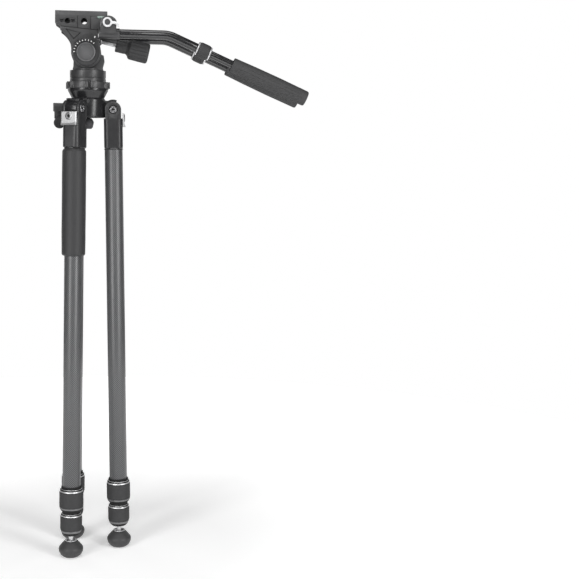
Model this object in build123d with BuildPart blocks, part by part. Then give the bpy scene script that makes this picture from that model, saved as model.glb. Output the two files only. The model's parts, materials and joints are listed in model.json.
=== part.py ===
from build123d import *
import os
from math import cos, radians, sin

# Tripod with a fluid head, stored folded and standing on its feet, in millimetres.
# Origin: on the tripod's axis at floor height. +X towards the pan bars, +Z up.

os.makedirs("parts", exist_ok=True)

# ---------------------------------------------------------------- driving dimensions
GAP = 0.05                    # radial running clearance of every turning or sliding pair

LEGS = {"right": 0, "rear": 120, "left": 240}   # azimuth of each leg about the axis
SPLAY = 1.0                   # lean of a folded leg
PIVOT_R = 41.5                # pivot bolts from the tripod's axis
PIVOT_Z = 750.0

TUBE_R = (15.0, 13.0, 11.0)   # upper, middle and lower tube
UPPER_TOP, UPPER_END = 710.0, 95.3
MIDDLE_TOP, MIDDLE_END = 690.0, 56.3
LOWER_TOP, LOWER_END = 650.0, 39.5
STUD_R, BALL_R, BALL_Z = 3.9, 5.0, 18.0

CASTING_W, CASTING_TOP, CASTING_END = 31.0, -14.6, -64.6
EAR_R, SLOT_W, SLOT_R = 13.2, 21.0, 16.5
LOCK_EDGE, LOCK_SEAT = 0.8, 0.2
# heights above the floor; "end" rounds the lower end as (radius, height above the bottom)
UPPER_LOCK = {
    "r": 20.2, "neck_r": 17.0, "neck_top": 121.7, "top": 118.3, "bottom": 80.6,
    "end": ((20.2, 7.0), (19.8, 3.5), (18.8, 1.0), (17.4, 0.0)),
}
LOWER_LOCK = {
    "r": 18.4, "neck_r": 15.7, "neck_top": 80.2, "top": 75.6, "bottom": 38.0,
    "end": ((18.4, 12.0), (17.6, 7.0), (15.6, 2.6), (12.4, 0.0)),
}
BOLT_R, BOLT_HEAD_R, RECESS_R, RECESS_DEEP = 4.0, 6.15, 7.85, 2.7
BOLT_HEAD_THICK, BOLT_SOCKET_R, BOLT_SOCKET_DEEP = 2.4, 2.9, 2.0

HUB_R, HUB_BOTTOM, HUB_TOP = 28.9, 736.8, 768.3
BOWL_R, BOWL_TOP = 33.0, 783.5
LEVEL_C, LEVEL_R, SEAT_R = 790.0, 29.0, 31.1
RING_TOP = 794.0
BASE_R, BASE_TOP, PAN_TOP = 29.5, 799.7, 813.0

TILT_X, TILT_Z = -2.5, 840.4
CHEEK_IN, CHEEK_OUT, CHEEK_R = 19.0, 27.0, 24.0
SADDLE_W, DRUM_R, AXLE_R = 18.5, 20.0, 7.0
FRONT_X, REAR_X = -52.3, 41.0
PLATFORM_TOP, PLATE_TOP, PLATE_W = 899.3, 906.6, 50.0
PLATE_REAR_X = 31.8

BAR_Y, BAR_Z = 41.0, 869.6
BAR_R, INNER_BAR_R = 7.4, 6.4
BAR_START_X, BEND_X, BEND_R, BAR_DROP = 22.0, 131.5, 45.0, 23.3
ROSETTE_X, ROSETTE_Z, ROSETTE_STUD_R = 32.1, 886.7, 4.6
KNOB_X, KNOB_Z, KNOB_DROP = 22.0, 859.7, 12.5


def sloping(x, y, z, drop):
    """Frame at a point whose z axis runs towards +X and drops below the horizontal."""
    return Plane(origin=(x, y, z), z_dir=(cos(radians(drop)), 0, -sin(radians(drop))))


def save(piece, label):
    """Label a finished piece and write its STEP file."""
    piece.part.label = label
    export_step(piece.part, f"parts/{label}.step")


def leg_frame(azimuth):
    """Frame on a leg's pivot: x outward, y along the pivot bolt, z up the leg."""
    a, s = radians(azimuth), radians(SPLAY)
    outward = Vector(cos(a), sin(a), 0)
    return Plane(
        origin=outward * PIVOT_R + Vector(0, 0, PIVOT_Z),
        x_dir=outward * cos(s) + Vector(0, 0, sin(s)),
        z_dir=outward * -sin(s) + Vector(0, 0, cos(s)),
    )


def side_of(frame, shift=0.0):
    """The frame's x-z plane, moved by shift along its y: sketch x is x, sketch y is z."""
    return Plane(
        origin=frame.origin + frame.y_dir * shift,
        x_dir=frame.x_dir,
        z_dir=frame.y_dir * -1,
    )


def spot(frame, x, y, z):
    """The point at x, y, z of a frame."""
    return frame.origin + frame.x_dir * x + frame.y_dir * y + frame.z_dir * z


def turned(frame, outline):
    """Revolve a closed (radius, height) outline about the frame's z axis."""
    with BuildPart() as piece:
        with BuildSketch(side_of(frame)):
            with BuildLine():
                Polyline(*outline, close=True)
            make_face()
        revolve(axis=Axis(frame.origin, frame.z_dir))
    return piece


def tube(frame, outer, inner, top, bottom):
    """A plain tube about the frame's z axis."""
    with BuildPart() as piece:
        with BuildSketch(frame.offset(bottom)):
            Circle(outer)
            Circle(inner, mode=Mode.SUBTRACT)
        extrude(amount=top - bottom)
    return piece


AXIS = Plane.XY
FRONT = side_of(AXIS)         # x-z plane through the tripod's axis
KNOB_FRAME = sloping(KNOB_X, 0, KNOB_Z, KNOB_DROP)
KNOB_SHAFT_R = 2.6


# ---------------------------------------------------------------- legs
def leg_casting(frame):
    """Fork that hinges on the spider's lug and holds the upper tube."""
    with BuildPart() as casting:
        with BuildSketch(frame.offset(CASTING_END)):
            RectangleRounded(CASTING_W, CASTING_W, 8)
        extrude(amount=CASTING_TOP - CASTING_END)
        chamfer(casting.faces().sort_by(Axis(frame.origin, frame.z_dir))[0].outer_wire().edges(), 2.5)
        with BuildSketch(side_of(frame)):
            Circle(EAR_R)
            with Locations((0, CASTING_TOP / 2 - 1)):
                Rectangle(2 * EAR_R, -CASTING_TOP + 2)
        extrude(amount=CASTING_W / 2, both=True)
        with BuildSketch(side_of(frame)):
            Circle(SLOT_R)
            with Locations((0, CASTING_TOP / 2)):
                Rectangle(2 * SLOT_R, -CASTING_TOP)
        extrude(amount=SLOT_W / 2, both=True, mode=Mode.SUBTRACT)
        with BuildSketch(side_of(frame)):
            Circle(BOLT_R + GAP)
        extrude(amount=CASTING_W, both=True, mode=Mode.SUBTRACT)
        for face in (-1, 1):
            with BuildSketch(side_of(frame, face * (CASTING_W / 2 - RECESS_DEEP))):
                Circle(RECESS_R)
            extrude(amount=-face * CASTING_W, mode=Mode.SUBTRACT)
        with BuildSketch(frame.offset(CASTING_END - 1)):
            Circle(TUBE_R[0] + GAP / 2)
        extrude(amount=UPPER_TOP - PIVOT_Z - CASTING_END + 1.5, mode=Mode.SUBTRACT)
    return casting


def angle_tab(frame):
    """Pull-down stop on the casting's outer face, with a finger lip and its screw."""
    face_x, thick, wide, top, bottom = CASTING_W / 2 + GAP, 3.0, 29.4, -6.0, -28.0
    lip, screw_z, screw_r, screw_high, socket_r, socket_deep = 2.2, -13.3, 6.4, 1.2, 2.3, 2.0
    with BuildPart() as tab:
        with BuildSketch(side_of(frame)):
            with BuildLine():
                Polyline(
                    (face_x, top),
                    (face_x + thick, top),
                    (face_x + thick, bottom + 7),
                    (face_x + thick + lip, bottom + 1),
                    (face_x + thick + lip, bottom),
                    (face_x, bottom),
                    close=True,
                )
            make_face()
        extrude(amount=wide / 2, both=True)
        with BuildSketch(Plane(spot(frame, face_x + thick, 0, screw_z), z_dir=frame.x_dir)):
            Circle(screw_r)
        extrude(amount=screw_high)
        with BuildSketch(Plane(spot(frame, face_x + thick + screw_high, 0, screw_z), z_dir=frame.x_dir)):
            RegularPolygon(socket_r, 6)
        extrude(amount=-socket_deep, mode=Mode.SUBTRACT)
    return tab


def twist_lock(frame, sizes, over_r, tube_end, under_r):
    """Collar that turns on the larger tube and closes on the smaller one."""
    outer, neck_r = sizes["r"], sizes["neck_r"]
    neck_top, top, bottom = (sizes[height] - PIVOT_Z for height in ("neck_top", "top", "bottom"))
    step = tube_end - LOCK_SEAT - PIVOT_Z
    return turned(frame, [
        (over_r + GAP, neck_top),
        (neck_r, neck_top),
        (neck_r, top),
        (outer - LOCK_EDGE, top),
        (outer, top - LOCK_EDGE),
        *((radius, bottom + up) for radius, up in sizes["end"]),
        (under_r + GAP, bottom),
        (under_r + GAP, step),
        (over_r + GAP, step),
    ])


def lower_tube(frame):
    """Smallest tube, with its end plug, stud and swivel ball."""
    with BuildPart() as piece:
        with BuildSketch(frame.offset(LOWER_END - PIVOT_Z)):
            Circle(TUBE_R[2])
        extrude(amount=LOWER_TOP - LOWER_END)
        with BuildSketch(frame.offset(LOWER_END + 12 - PIVOT_Z)):
            Circle(TUBE_R[2] - 1.6)
        extrude(amount=LOWER_TOP, mode=Mode.SUBTRACT)
        with BuildSketch(frame.offset(BALL_Z - PIVOT_Z)):
            Circle(STUD_R)
        extrude(amount=LOWER_END - BALL_Z)
        with Locations(spot(frame, 0, 0, BALL_Z - PIVOT_Z)):
            Sphere(BALL_R)
    return piece


def foot(frame):
    """Domed rubber foot, level on the floor, with a socket for the stud's ball."""
    centre = spot(frame, 0, 0, BALL_Z - PIVOT_Z)
    level = Plane(origin=centre, x_dir=Vector(frame.x_dir.X, frame.x_dir.Y, 0).normalized(), z_dir=(0, 0, 1))
    floor, top_z, top_r, sole_r = -centre.Z, 11.0, 9.8, 9.5
    with BuildPart() as piece:
        with BuildSketch(side_of(level)):
            with BuildLine():
                top = Line((0, top_z), (top_r, top_z))
                shoulder = Line(top @ 1, (20.1, floor + 17.0))
                brim = Line(shoulder @ 1, (20.8, floor + 14.5))
                TangentArc(brim @ 1, (sole_r, floor), tangent=(0, -1))
                sole = Line((sole_r, floor), (0, floor))
                Line(sole @ 1, (0, top_z))
            make_face()
        revolve(axis=Axis(centre, (0, 0, 1)))
        with Locations(centre):
            Sphere(BALL_R + GAP, mode=Mode.SUBTRACT)
        with BuildSketch(side_of(level)):
            with BuildLine():
                Polyline((0, 1.4), (4.9, 1.4), (8.9, top_z + 0.5), (0, top_z + 0.5), close=True)
            make_face()
        revolve(axis=Axis(centre, (0, 0, 1)), mode=Mode.SUBTRACT)
    return piece


for side, azimuth in LEGS.items():
    leg = leg_frame(azimuth)
    save(leg_casting(leg), f"leg_casting_{side}")
    save(angle_tab(leg), f"angle_tab_{side}")
    save(tube(leg, TUBE_R[0], TUBE_R[1] + GAP, UPPER_TOP - PIVOT_Z, UPPER_END - PIVOT_Z), f"upper_tube_{side}")
    save(twist_lock(leg, UPPER_LOCK, TUBE_R[0], UPPER_END, TUBE_R[1]), f"upper_lock_{side}")
    save(
        tube(leg, TUBE_R[1], TUBE_R[2] + GAP, MIDDLE_TOP - PIVOT_Z, MIDDLE_END - PIVOT_Z),
        f"middle_tube_{side}",
    )
    save(twist_lock(leg, LOWER_LOCK, TUBE_R[1], MIDDLE_END, TUBE_R[2]), f"lower_lock_{side}")
    save(lower_tube(leg), f"lower_tube_{side}")
    save(foot(leg), f"foot_{side}")

# Foam grip around the left leg's upper tube, just under its casting
SLEEVE_R, SLEEVE_LENGTH = 19.75, 175.0
left_leg = leg_frame(LEGS["left"])
sleeve_top = CASTING_END - 0.3
foam_sleeve = turned(left_leg, [
    (TUBE_R[0] + GAP / 2, sleeve_top),
    (SLEEVE_R - 2.5, sleeve_top),
    (SLEEVE_R, sleeve_top - 4),
    (SLEEVE_R, sleeve_top - SLEEVE_LENGTH + 3),
    (SLEEVE_R - 1.5, sleeve_top - SLEEVE_LENGTH),
    (TUBE_R[0] + GAP / 2, sleeve_top - SLEEVE_LENGTH),
])
save(foam_sleeve, "foam_sleeve")


# ---------------------------------------------------------------- crown
LUG_W, LUG_R, LUG_TOP = 20.7, 12.0, 764.2
HOOD_IN_R, HOOD_OUT_R, HOOD_W = 13.6, 16.4, 24.0
HOOD_SPAN = (68, 100, 140)    # angles about the pivot, from the outer end to the hub
HOOK_SHAFT_R, HOOK_BORE_TOP = 4.0, 756.0

with BuildPart() as spider:
    with BuildSketch(FRONT):
        with BuildLine():
            Polyline(
                (0, HUB_BOTTOM),
                (HUB_R - 0.8, HUB_BOTTOM),
                (HUB_R, HUB_BOTTOM + 0.8),
                (HUB_R, HUB_TOP - 3),
                (HUB_R - 2.3, HUB_TOP),
                (BOWL_R, BOWL_TOP - 3),
                (BOWL_R, BOWL_TOP),
                (0, BOWL_TOP),
                close=True,
            )
        make_face()
    revolve(axis=Axis.Z)
    for azimuth in LEGS.values():
        lug_frame = Plane(origin=(0, 0, 0), x_dir=Vector(1, 0, 0).rotate(Axis.Z, azimuth), z_dir=(0, 0, 1))
        with BuildSketch(side_of(lug_frame)):
            with Locations((PIVOT_R, PIVOT_Z)):
                Circle(LUG_R)
            with Locations((PIVOT_R / 2 + 10, PIVOT_Z + 1)):
                Rectangle(PIVOT_R - 20, 2 * LUG_R - 4)
            with Locations((PIVOT_R - 6, (PIVOT_Z + LUG_TOP) / 2)):
                Rectangle(20, LUG_TOP - PIVOT_Z + 0.2)
        extrude(amount=LUG_W / 2, both=True)
        # curved hood over the leg's ears
        with BuildSketch(side_of(lug_frame)):
            with BuildLine():
                under, over = (
                    ThreePointArc(*(
                        (PIVOT_R + radius * cos(radians(angle)), PIVOT_Z + radius * sin(radians(angle)))
                        for angle in HOOD_SPAN
                    ))
                    for radius in (HOOD_IN_R, HOOD_OUT_R)
                )
                Line(under @ 0, over @ 0)
                Line(under @ 1, over @ 1)
            make_face()
        extrude(amount=HOOD_W / 2, both=True)
    with Locations((0, 0, LEVEL_C)):
        Sphere(SEAT_R, mode=Mode.SUBTRACT)
    with BuildSketch(Plane.XY.offset(HUB_BOTTOM - 1)):
        Circle(HOOK_SHAFT_R + GAP)
    extrude(amount=HOOK_BORE_TOP - HUB_BOTTOM + 1, mode=Mode.SUBTRACT)
    for azimuth in LEGS.values():
        lug_frame = Plane(origin=(0, 0, 0), x_dir=Vector(1, 0, 0).rotate(Axis.Z, azimuth), z_dir=(0, 0, 1))
        with BuildSketch(side_of(lug_frame)):
            with Locations((PIVOT_R, PIVOT_Z)):
                Circle(BOLT_R + GAP / 2)
        extrude(amount=LUG_W, both=True, mode=Mode.SUBTRACT)
save(spider, "spider")

with BuildPart() as pivot_bolts:
    for azimuth in LEGS.values():
        pivot = leg_frame(azimuth)
        head_in = CASTING_W / 2 - RECESS_DEEP + GAP
        with BuildSketch(side_of(pivot)):
            Circle(BOLT_R)
        extrude(amount=head_in, both=True)
        for face in (-1, 1):
            with BuildSketch(side_of(pivot, face * head_in)):
                Circle(BOLT_HEAD_R)
            extrude(amount=-face * BOLT_HEAD_THICK)
            with BuildSketch(side_of(pivot, face * (head_in + BOLT_HEAD_THICK))):
                RegularPolygon(BOLT_SOCKET_R, 6)
            extrude(amount=face * BOLT_SOCKET_DEEP, mode=Mode.SUBTRACT)
save(pivot_bolts, "pivot_bolts")

LEVEL_RING_R, RIDGE_R, RIDGE_RING_R, RIDGE_TURN = 33.2, 2.3, 36.0, 6.2
with BuildPart() as level_lock_ring:
    with BuildSketch(Plane.XY.offset(BOWL_TOP + 0.1)):
        Circle(LEVEL_RING_R)
        for turn in (-RIDGE_TURN, RIDGE_TURN):
            with PolarLocations(RIDGE_RING_R, 6, start_angle=turn - 25):
                Circle(RIDGE_R)
            with PolarLocations(RIDGE_RING_R - 2, 6, start_angle=turn - 25):
                Rectangle(4, 2 * RIDGE_R)
    extrude(amount=RING_TOP - BOWL_TOP - 0.1)
    with Locations((0, 0, LEVEL_C)):
        Sphere(SEAT_R, mode=Mode.SUBTRACT)
save(level_lock_ring, "level_lock_ring")

CUP_TOP = 783.8
with BuildPart() as brake_cup:
    with Locations((0, 0, LEVEL_C)):
        Sphere(SEAT_R - GAP)
        Sphere(LEVEL_R + GAP, mode=Mode.SUBTRACT)
    split(bisect_by=Plane.XY.offset(CUP_TOP), keep=Keep.BOTTOM)
save(brake_cup, "brake_cup")

with BuildPart() as level_ball:
    with Locations((0, 0, LEVEL_C)):
        Sphere(LEVEL_R)
    split(bisect_by=Plane.XY.offset(RING_TOP), keep=Keep.BOTTOM)
save(level_ball, "level_ball")

HOOK_TOP, HOOK_BOTTOM, HOOK_R, EYE_R, EYE_Z = 735.5, 718.0, 10.0, 4.0, 724.5
with BuildPart() as hook_knob:
    with BuildSketch(FRONT):
        with BuildLine():
            rim = Line((0, HOOK_TOP), (HOOK_R - 4.5, HOOK_TOP))
            bulge = ThreePointArc(rim @ 1, (HOOK_R, (HOOK_TOP + HOOK_BOTTOM) / 2), (HOOK_R - 4.5, HOOK_BOTTOM))
            Polyline(bulge @ 1, (0, HOOK_BOTTOM), (0, HOOK_TOP))
        make_face()
    revolve(axis=Axis.Z)
    with BuildSketch(Plane.XY.offset(HOOK_TOP - 1)):
        Circle(HOOK_SHAFT_R)
    extrude(amount=HOOK_BORE_TOP - HOOK_TOP + 0.5)
    with BuildSketch(Plane.YZ):
        with Locations((0, EYE_Z)):
            Circle(EYE_R)
    extrude(amount=HOOK_R + 2, both=True, mode=Mode.SUBTRACT)
save(hook_knob, "hook_knob")

ARM_X, ARM_W, ARM_LOW, ARM_HIGH, ARM_ROOT_X = -56.5, 24.0, 745.7, 759.0, -24.9
TONGUE_X, TONGUE_ROOT_X, TONGUE_LOW, TONGUE_W = -55.0, -38.0, 734.0, 8.0
CLAMP_X, CLAMP_Z, CLAMP_R, CLAMP_W, CLAMP_PIN_R = -46.5, 727.0, 9.3, 7.0, 2.5
CLAMP_EAR, ARM_THREAD_R, ARM_THREAD_DEEP = (9.0, 14.0), 2.65, 12.0
with BuildPart() as accessory_block:
    with BuildSketch(Plane.XY.offset(ARM_LOW)):
        with Locations(((ARM_X + ARM_ROOT_X) / 2, 0)):
            RectangleRounded(ARM_ROOT_X - ARM_X, ARM_W, 2)
    extrude(amount=ARM_HIGH - ARM_LOW)
    with BuildSketch(Plane.XY.offset(ARM_LOW - 1)):
        Circle(HUB_R + GAP / 2)
    extrude(amount=ARM_HIGH - ARM_LOW + 2, mode=Mode.SUBTRACT)
    with BuildSketch(FRONT):
        with Locations(((TONGUE_X + TONGUE_ROOT_X) / 2, (TONGUE_LOW + ARM_LOW) / 2)):
            Rectangle(TONGUE_ROOT_X - TONGUE_X, ARM_LOW - TONGUE_LOW + 0.2)
        with Locations((CLAMP_X, CLAMP_Z + 3)):
            Rectangle(*CLAMP_EAR)
    extrude(amount=TONGUE_W / 2, both=True)
    with BuildSketch(FRONT):
        with Locations((CLAMP_X, CLAMP_Z)):
            Circle(CLAMP_PIN_R + GAP)
    extrude(amount=TONGUE_W, both=True, mode=Mode.SUBTRACT)
    with BuildSketch(Plane.YZ.offset(ARM_X - 1)):
        with Locations((0, (ARM_LOW + ARM_HIGH) / 2)):
            Circle(ARM_THREAD_R)
    extrude(amount=ARM_THREAD_DEEP + 1, mode=Mode.SUBTRACT)
save(accessory_block, "accessory_block")

with BuildPart() as accessory_knob:
    with BuildSketch(side_of(AXIS, -TONGUE_W / 2 - 0.1)):
        with Locations((CLAMP_X, CLAMP_Z)):
            Circle(CLAMP_R)
    extrude(amount=CLAMP_W)
    fillet(accessory_knob.edges().filter_by(GeomType.CIRCLE), 1.2)
    with BuildSketch(side_of(AXIS, -TONGUE_W / 2 - 1)):
        with Locations((CLAMP_X, CLAMP_Z)):
            Circle(CLAMP_PIN_R)
    extrude(amount=-TONGUE_W - 2)
save(accessory_knob, "accessory_knob")


# ---------------------------------------------------------------- pan section
PAN_STUB_R, STUB_END = 8.0, 796.0
with BuildPart() as head_base_plate:
    with BuildSketch(Plane.XY.offset(RING_TOP)):
        Circle(BASE_R)
    extrude(amount=BASE_TOP - RING_TOP)
    with BuildSketch(Plane.XY.offset(STUB_END - 0.1)):
        Circle(PAN_STUB_R + GAP)
    extrude(amount=BASE_TOP, mode=Mode.SUBTRACT)
save(head_base_plate, "head_base_plate")

PAN_KNOB_Z, PAN_KNOB_R, PAN_KNOB_W, PAN_SCREW_R, PAN_SCREW_DEEP = 807.2, 7.2, 13.0, 2.5, 12.0
with BuildPart() as pan_housing:
    with BuildSketch(Plane.XY.offset(BASE_TOP + GAP)):
        Circle(BASE_R - 1.2)
    extrude(amount=1.6)
    with BuildSketch(Plane.XY.offset(BASE_TOP + 1.6)):
        Circle(BASE_R)
    extrude(amount=PAN_TOP - BASE_TOP - 1.6)
    fillet(pan_housing.edges().group_by(Axis.Z)[-1], 0.8)
    with BuildSketch(Plane.XY.offset(STUB_END)):
        Circle(PAN_STUB_R)
    extrude(amount=BASE_TOP - STUB_END + 1)
    with BuildSketch(Plane.XZ.offset(-BASE_R - 2)):
        with Locations((0, PAN_KNOB_Z)):
            Circle(PAN_SCREW_R + GAP)
    extrude(amount=PAN_SCREW_DEEP + 4, mode=Mode.SUBTRACT)
save(pan_housing, "pan_housing")

with BuildPart() as pan_lock_knob:
    with BuildSketch(Plane.XZ.offset(-BASE_R - 0.3)):
        with Locations((0, PAN_KNOB_Z)):
            RegularPolygon(PAN_KNOB_R, 8)
    extrude(amount=-PAN_KNOB_W)
    with BuildSketch(Plane.XZ.offset(-BASE_R - 1)):
        with Locations((0, PAN_KNOB_Z)):
            Circle(PAN_SCREW_R)
    extrude(amount=PAN_SCREW_DEEP)
save(pan_lock_knob, "pan_lock_knob")

SADDLE_FRONT, SADDLE_REAR, SADDLE_FOOT, FLANGE_TOP, FLANGE_W, FLANGE_R = -24.3, 25.0, 6.0, 815.8, 36.0, 24.5
SHOULDER, SHOULDER_TOP = (27.2, 829.0), (26.0, 836.5)
with BuildPart() as tilt_saddle:
    with BuildSketch(FRONT):
        with BuildLine():
            Polyline(
                (SADDLE_FRONT, PAN_TOP),
                (SADDLE_FRONT + 1, PAN_TOP + SADDLE_FOOT),
                (TILT_X - DRUM_R, TILT_Z),
                (TILT_X + DRUM_R, TILT_Z),
                SHOULDER_TOP,
                SHOULDER,
                (SADDLE_REAR - 0.5, PAN_TOP + SADDLE_FOOT),
                (SADDLE_REAR, PAN_TOP),
                close=True,
            )
        make_face()
        with Locations((TILT_X, TILT_Z)):
            Circle(DRUM_R)
    extrude(amount=SADDLE_W, both=True)
    with BuildSketch(Plane.XY.offset(PAN_TOP)):
        with Locations(((SADDLE_FRONT + SADDLE_REAR) / 2, 0)):
            Rectangle(SADDLE_REAR - SADDLE_FRONT, FLANGE_W)
            Circle(FLANGE_R)
    extrude(amount=FLANGE_TOP - PAN_TOP)
    with BuildSketch(FRONT):
        with Locations((TILT_X, TILT_Z)):
            Circle(AXLE_R + GAP)
    extrude(amount=SADDLE_W + 5, both=True, mode=Mode.SUBTRACT)
save(tilt_saddle, "tilt_saddle")


# ---------------------------------------------------------------- tilt section
with BuildPart() as tilt_axle:
    with BuildSketch(FRONT):
        with Locations((TILT_X, TILT_Z)):
            Circle(AXLE_R)
    extrude(amount=CHEEK_OUT - 0.1, both=True)
save(tilt_axle, "tilt_axle")

CROSS_HOLE_X, CROSS_HOLE_R, PORT_X, PORT_R, PORT_Z, PORT_DEEP = -5.6, 5.0, -32.4, 4.6, 890.0, 11.0
BRIDGE_X, BRIDGE_Z, BRIDGE_R = 17.8, 860.6, 5.0
TONGUE_DEEP, TONGUE_HALF, TONGUE_FLARE = 3.2, 16.0, 2.0
RELEASE_X, RELEASE_R = -32.4, 4.5

# the cheeks meet the platform along a line that drops from the neck to the soffit
NECK, SOFFIT, NOSE_Z, TAIL_CHAMFER, TAIL_SLOPE = (-44.2, 881.5), (13.8, 877.0), 886.8, 3.0, (9.0, 6.3)
ROSETTE_DISC_R, ROSETTE_DISC_W, ROSETTE_STUD_W = 9.0, 6.2, 26.0
PORT_SLOT_SHIFT, PORT_SLOT, PORT_SLOT_DEEP = 8.9, (6.6, 5.0), 4.0
VIAL_X, VIAL_LENGTH, VIAL_R, VIAL_IN = 15.6, 14.2, 2.25, 2.4

with BuildPart() as tilt_platform:
    with BuildSketch(FRONT):
        with BuildLine():
            Polyline(
                (FRONT_X, PLATFORM_TOP),
                (FRONT_X, NOSE_Z),
                NECK,
                SOFFIT,
                (REAR_X - TAIL_CHAMFER, SOFFIT[1]),
                (REAR_X, SOFFIT[1] + TAIL_CHAMFER),
                (REAR_X, PLATFORM_TOP - TAIL_SLOPE[1]),
                (REAR_X - TAIL_SLOPE[0], PLATFORM_TOP),
                close=True,
            )
        make_face()
    extrude(amount=CHEEK_OUT, both=True)
    # rosette discs and the studs that carry the pan-bar holders
    for face in (-1, 1):
        with BuildSketch(side_of(AXIS, face * (CHEEK_OUT - 1))):
            with Locations((ROSETTE_X, ROSETTE_Z)):
                Circle(ROSETTE_DISC_R)
        extrude(amount=-face * ROSETTE_DISC_W)
        with BuildSketch(side_of(AXIS, face * CHEEK_OUT)):
            with Locations((ROSETTE_X, ROSETTE_Z)):
                Circle(ROSETTE_STUD_R)
        extrude(amount=-face * ROSETTE_STUD_W)
    # dovetail channel for the camera plate, open at both ends
    with BuildSketch(Plane.YZ.offset(FRONT_X - 1)):
        with BuildLine():
            Polyline(
                (-TONGUE_HALF - 0.1, PLATFORM_TOP + 1),
                (-TONGUE_HALF - 0.1, PLATFORM_TOP),
                (-TONGUE_HALF - TONGUE_FLARE - 0.1, PLATFORM_TOP - TONGUE_DEEP - 0.1),
                (TONGUE_HALF + TONGUE_FLARE + 0.1, PLATFORM_TOP - TONGUE_DEEP - 0.1),
                (TONGUE_HALF + 0.1, PLATFORM_TOP),
                (TONGUE_HALF + 0.1, PLATFORM_TOP + 1),
                close=True,
            )
        make_face()
    extrude(amount=REAR_X - FRONT_X + 2, mode=Mode.SUBTRACT)
    # open cross hole through the platform
    with BuildSketch(FRONT):
        with Locations((CROSS_HOLE_X, PORT_Z)):
            Circle(CROSS_HOLE_R)
    extrude(amount=CHEEK_OUT + 1, both=True, mode=Mode.SUBTRACT)
    with BuildSketch(side_of(AXIS, -CHEEK_OUT - 1)):
        with Locations((PORT_X, PORT_Z)):
            Circle(PORT_R)
    extrude(amount=-PORT_DEEP - 1, mode=Mode.SUBTRACT)
    with BuildSketch(side_of(AXIS, -CHEEK_OUT)):
        with Locations((PORT_X - PORT_SLOT_SHIFT, PORT_Z), (PORT_X + PORT_SLOT_SHIFT, PORT_Z)):
            Rectangle(*PORT_SLOT)
    extrude(amount=-PORT_SLOT_DEEP, mode=Mode.SUBTRACT)
    # seat for the bubble level along the top edge
    with BuildSketch(side_of(AXIS, -CHEEK_OUT)):
        with Locations((VIAL_X + VIAL_LENGTH / 2, PLATFORM_TOP - VIAL_IN)):
            Rectangle(VIAL_LENGTH + 0.4, 2 * VIAL_IN + 0.1)
    extrude(amount=-2 * VIAL_IN - 0.2, mode=Mode.SUBTRACT)
    # pocket for the plate-release button on the far side
    with BuildSketch(side_of(AXIS, CHEEK_OUT + 1)):
        with Locations((RELEASE_X, PORT_Z)):
            Circle(RELEASE_R + GAP)
    extrude(amount=9, mode=Mode.SUBTRACT)
save(tilt_platform, "tilt_platform")


def tilt_cheek(start, pocket):
    """Side plate from the platform down round the tilt axle, from y = start towards +Y."""
    with BuildPart() as cheek:
        with BuildSketch(side_of(AXIS, start)):
            with BuildLine():
                neck = Line(NECK, (NECK[0], 875.6))
                flank = ThreePointArc(neck @ 1, (-31.5, 862.5), (TILT_X - CHEEK_R, TILT_Z + 4))
                belly = ThreePointArc(flank @ 1, (TILT_X, TILT_Z - CHEEK_R), (TILT_X + CHEEK_R, TILT_Z + 4))
                Polyline(belly @ 1, (17.5, 864.0), (16.2, SOFFIT[1]), SOFFIT, NECK)
            make_face()
        extrude(amount=CHEEK_IN - CHEEK_OUT)
        with BuildSketch(FRONT):
            with Locations((TILT_X, TILT_Z)):
                Circle(AXLE_R + GAP / 2)
        extrude(amount=CHEEK_OUT + 2, both=True, mode=Mode.SUBTRACT)
        if pocket:
            # triangular relief in the outer face
            with BuildSketch(side_of(AXIS, start)):
                with BuildLine():
                    Polyline((-35.6, 877.5), (-10.5, 871.5), (-22.6, 861.2), close=True)
                make_face()
            extrude(amount=-1.2, mode=Mode.SUBTRACT)
    return cheek


save(tilt_cheek(-CHEEK_OUT, True), "tilt_cheek_near")
save(tilt_cheek(CHEEK_IN, False), "tilt_cheek_far")

# round bar across the cheeks, drilled for the tilt-lock screw
with BuildPart() as tilt_bridge:
    with BuildSketch(FRONT):
        with Locations((BRIDGE_X, BRIDGE_Z)):
            Circle(BRIDGE_R)
    extrude(amount=CHEEK_IN, both=True)
    with BuildSketch(KNOB_FRAME):
        Circle(KNOB_SHAFT_R + GAP)
    extrude(amount=2 * BRIDGE_R, both=True, mode=Mode.SUBTRACT)
save(tilt_bridge, "tilt_bridge")

with BuildPart() as bubble_level:
    with BuildSketch(Plane.YZ.offset(VIAL_X)):
        with Locations((-CHEEK_OUT + VIAL_IN, PLATFORM_TOP - VIAL_IN - 0.1)):
            Circle(VIAL_R)
    extrude(amount=VIAL_LENGTH)
save(bubble_level, "bubble_level")

DIAL_R, DIAL_W, CAP_R, CAP_W, CAP_STEM_R = 22.6, 8.9, 15.2, 1.9, 8.0
REAR_DIAL_R, REAR_DIAL_W, FLUTE_RING_R, FLUTE_R = 19.0, 6.0, 19.6, 2.0
with BuildPart() as dial_cap:
    with BuildSketch(side_of(AXIS, -CHEEK_OUT)):
        with Locations((TILT_X, TILT_Z)):
            Circle(CAP_STEM_R)
    extrude(amount=DIAL_W + 0.2)
    with BuildSketch(side_of(AXIS, -CHEEK_OUT - DIAL_W - 0.2)):
        with Locations((TILT_X, TILT_Z)):
            Circle(CAP_R)
    extrude(amount=CAP_W)
    chamfer(dial_cap.edges().group_by(Axis.Y)[0], 0.8)
save(dial_cap, "dial_cap")

with BuildPart() as drag_dial:
    with BuildSketch(side_of(AXIS, -CHEEK_OUT - 0.1)):
        with Locations((TILT_X, TILT_Z)):
            Circle(DIAL_R)
            Circle(CAP_STEM_R + GAP, mode=Mode.SUBTRACT)
    extrude(amount=DIAL_W)
    chamfer(drag_dial.edges().group_by(Axis.Y)[0].sort_by(SortBy.RADIUS)[-1], 1.6)
save(drag_dial, "drag_dial")

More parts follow.
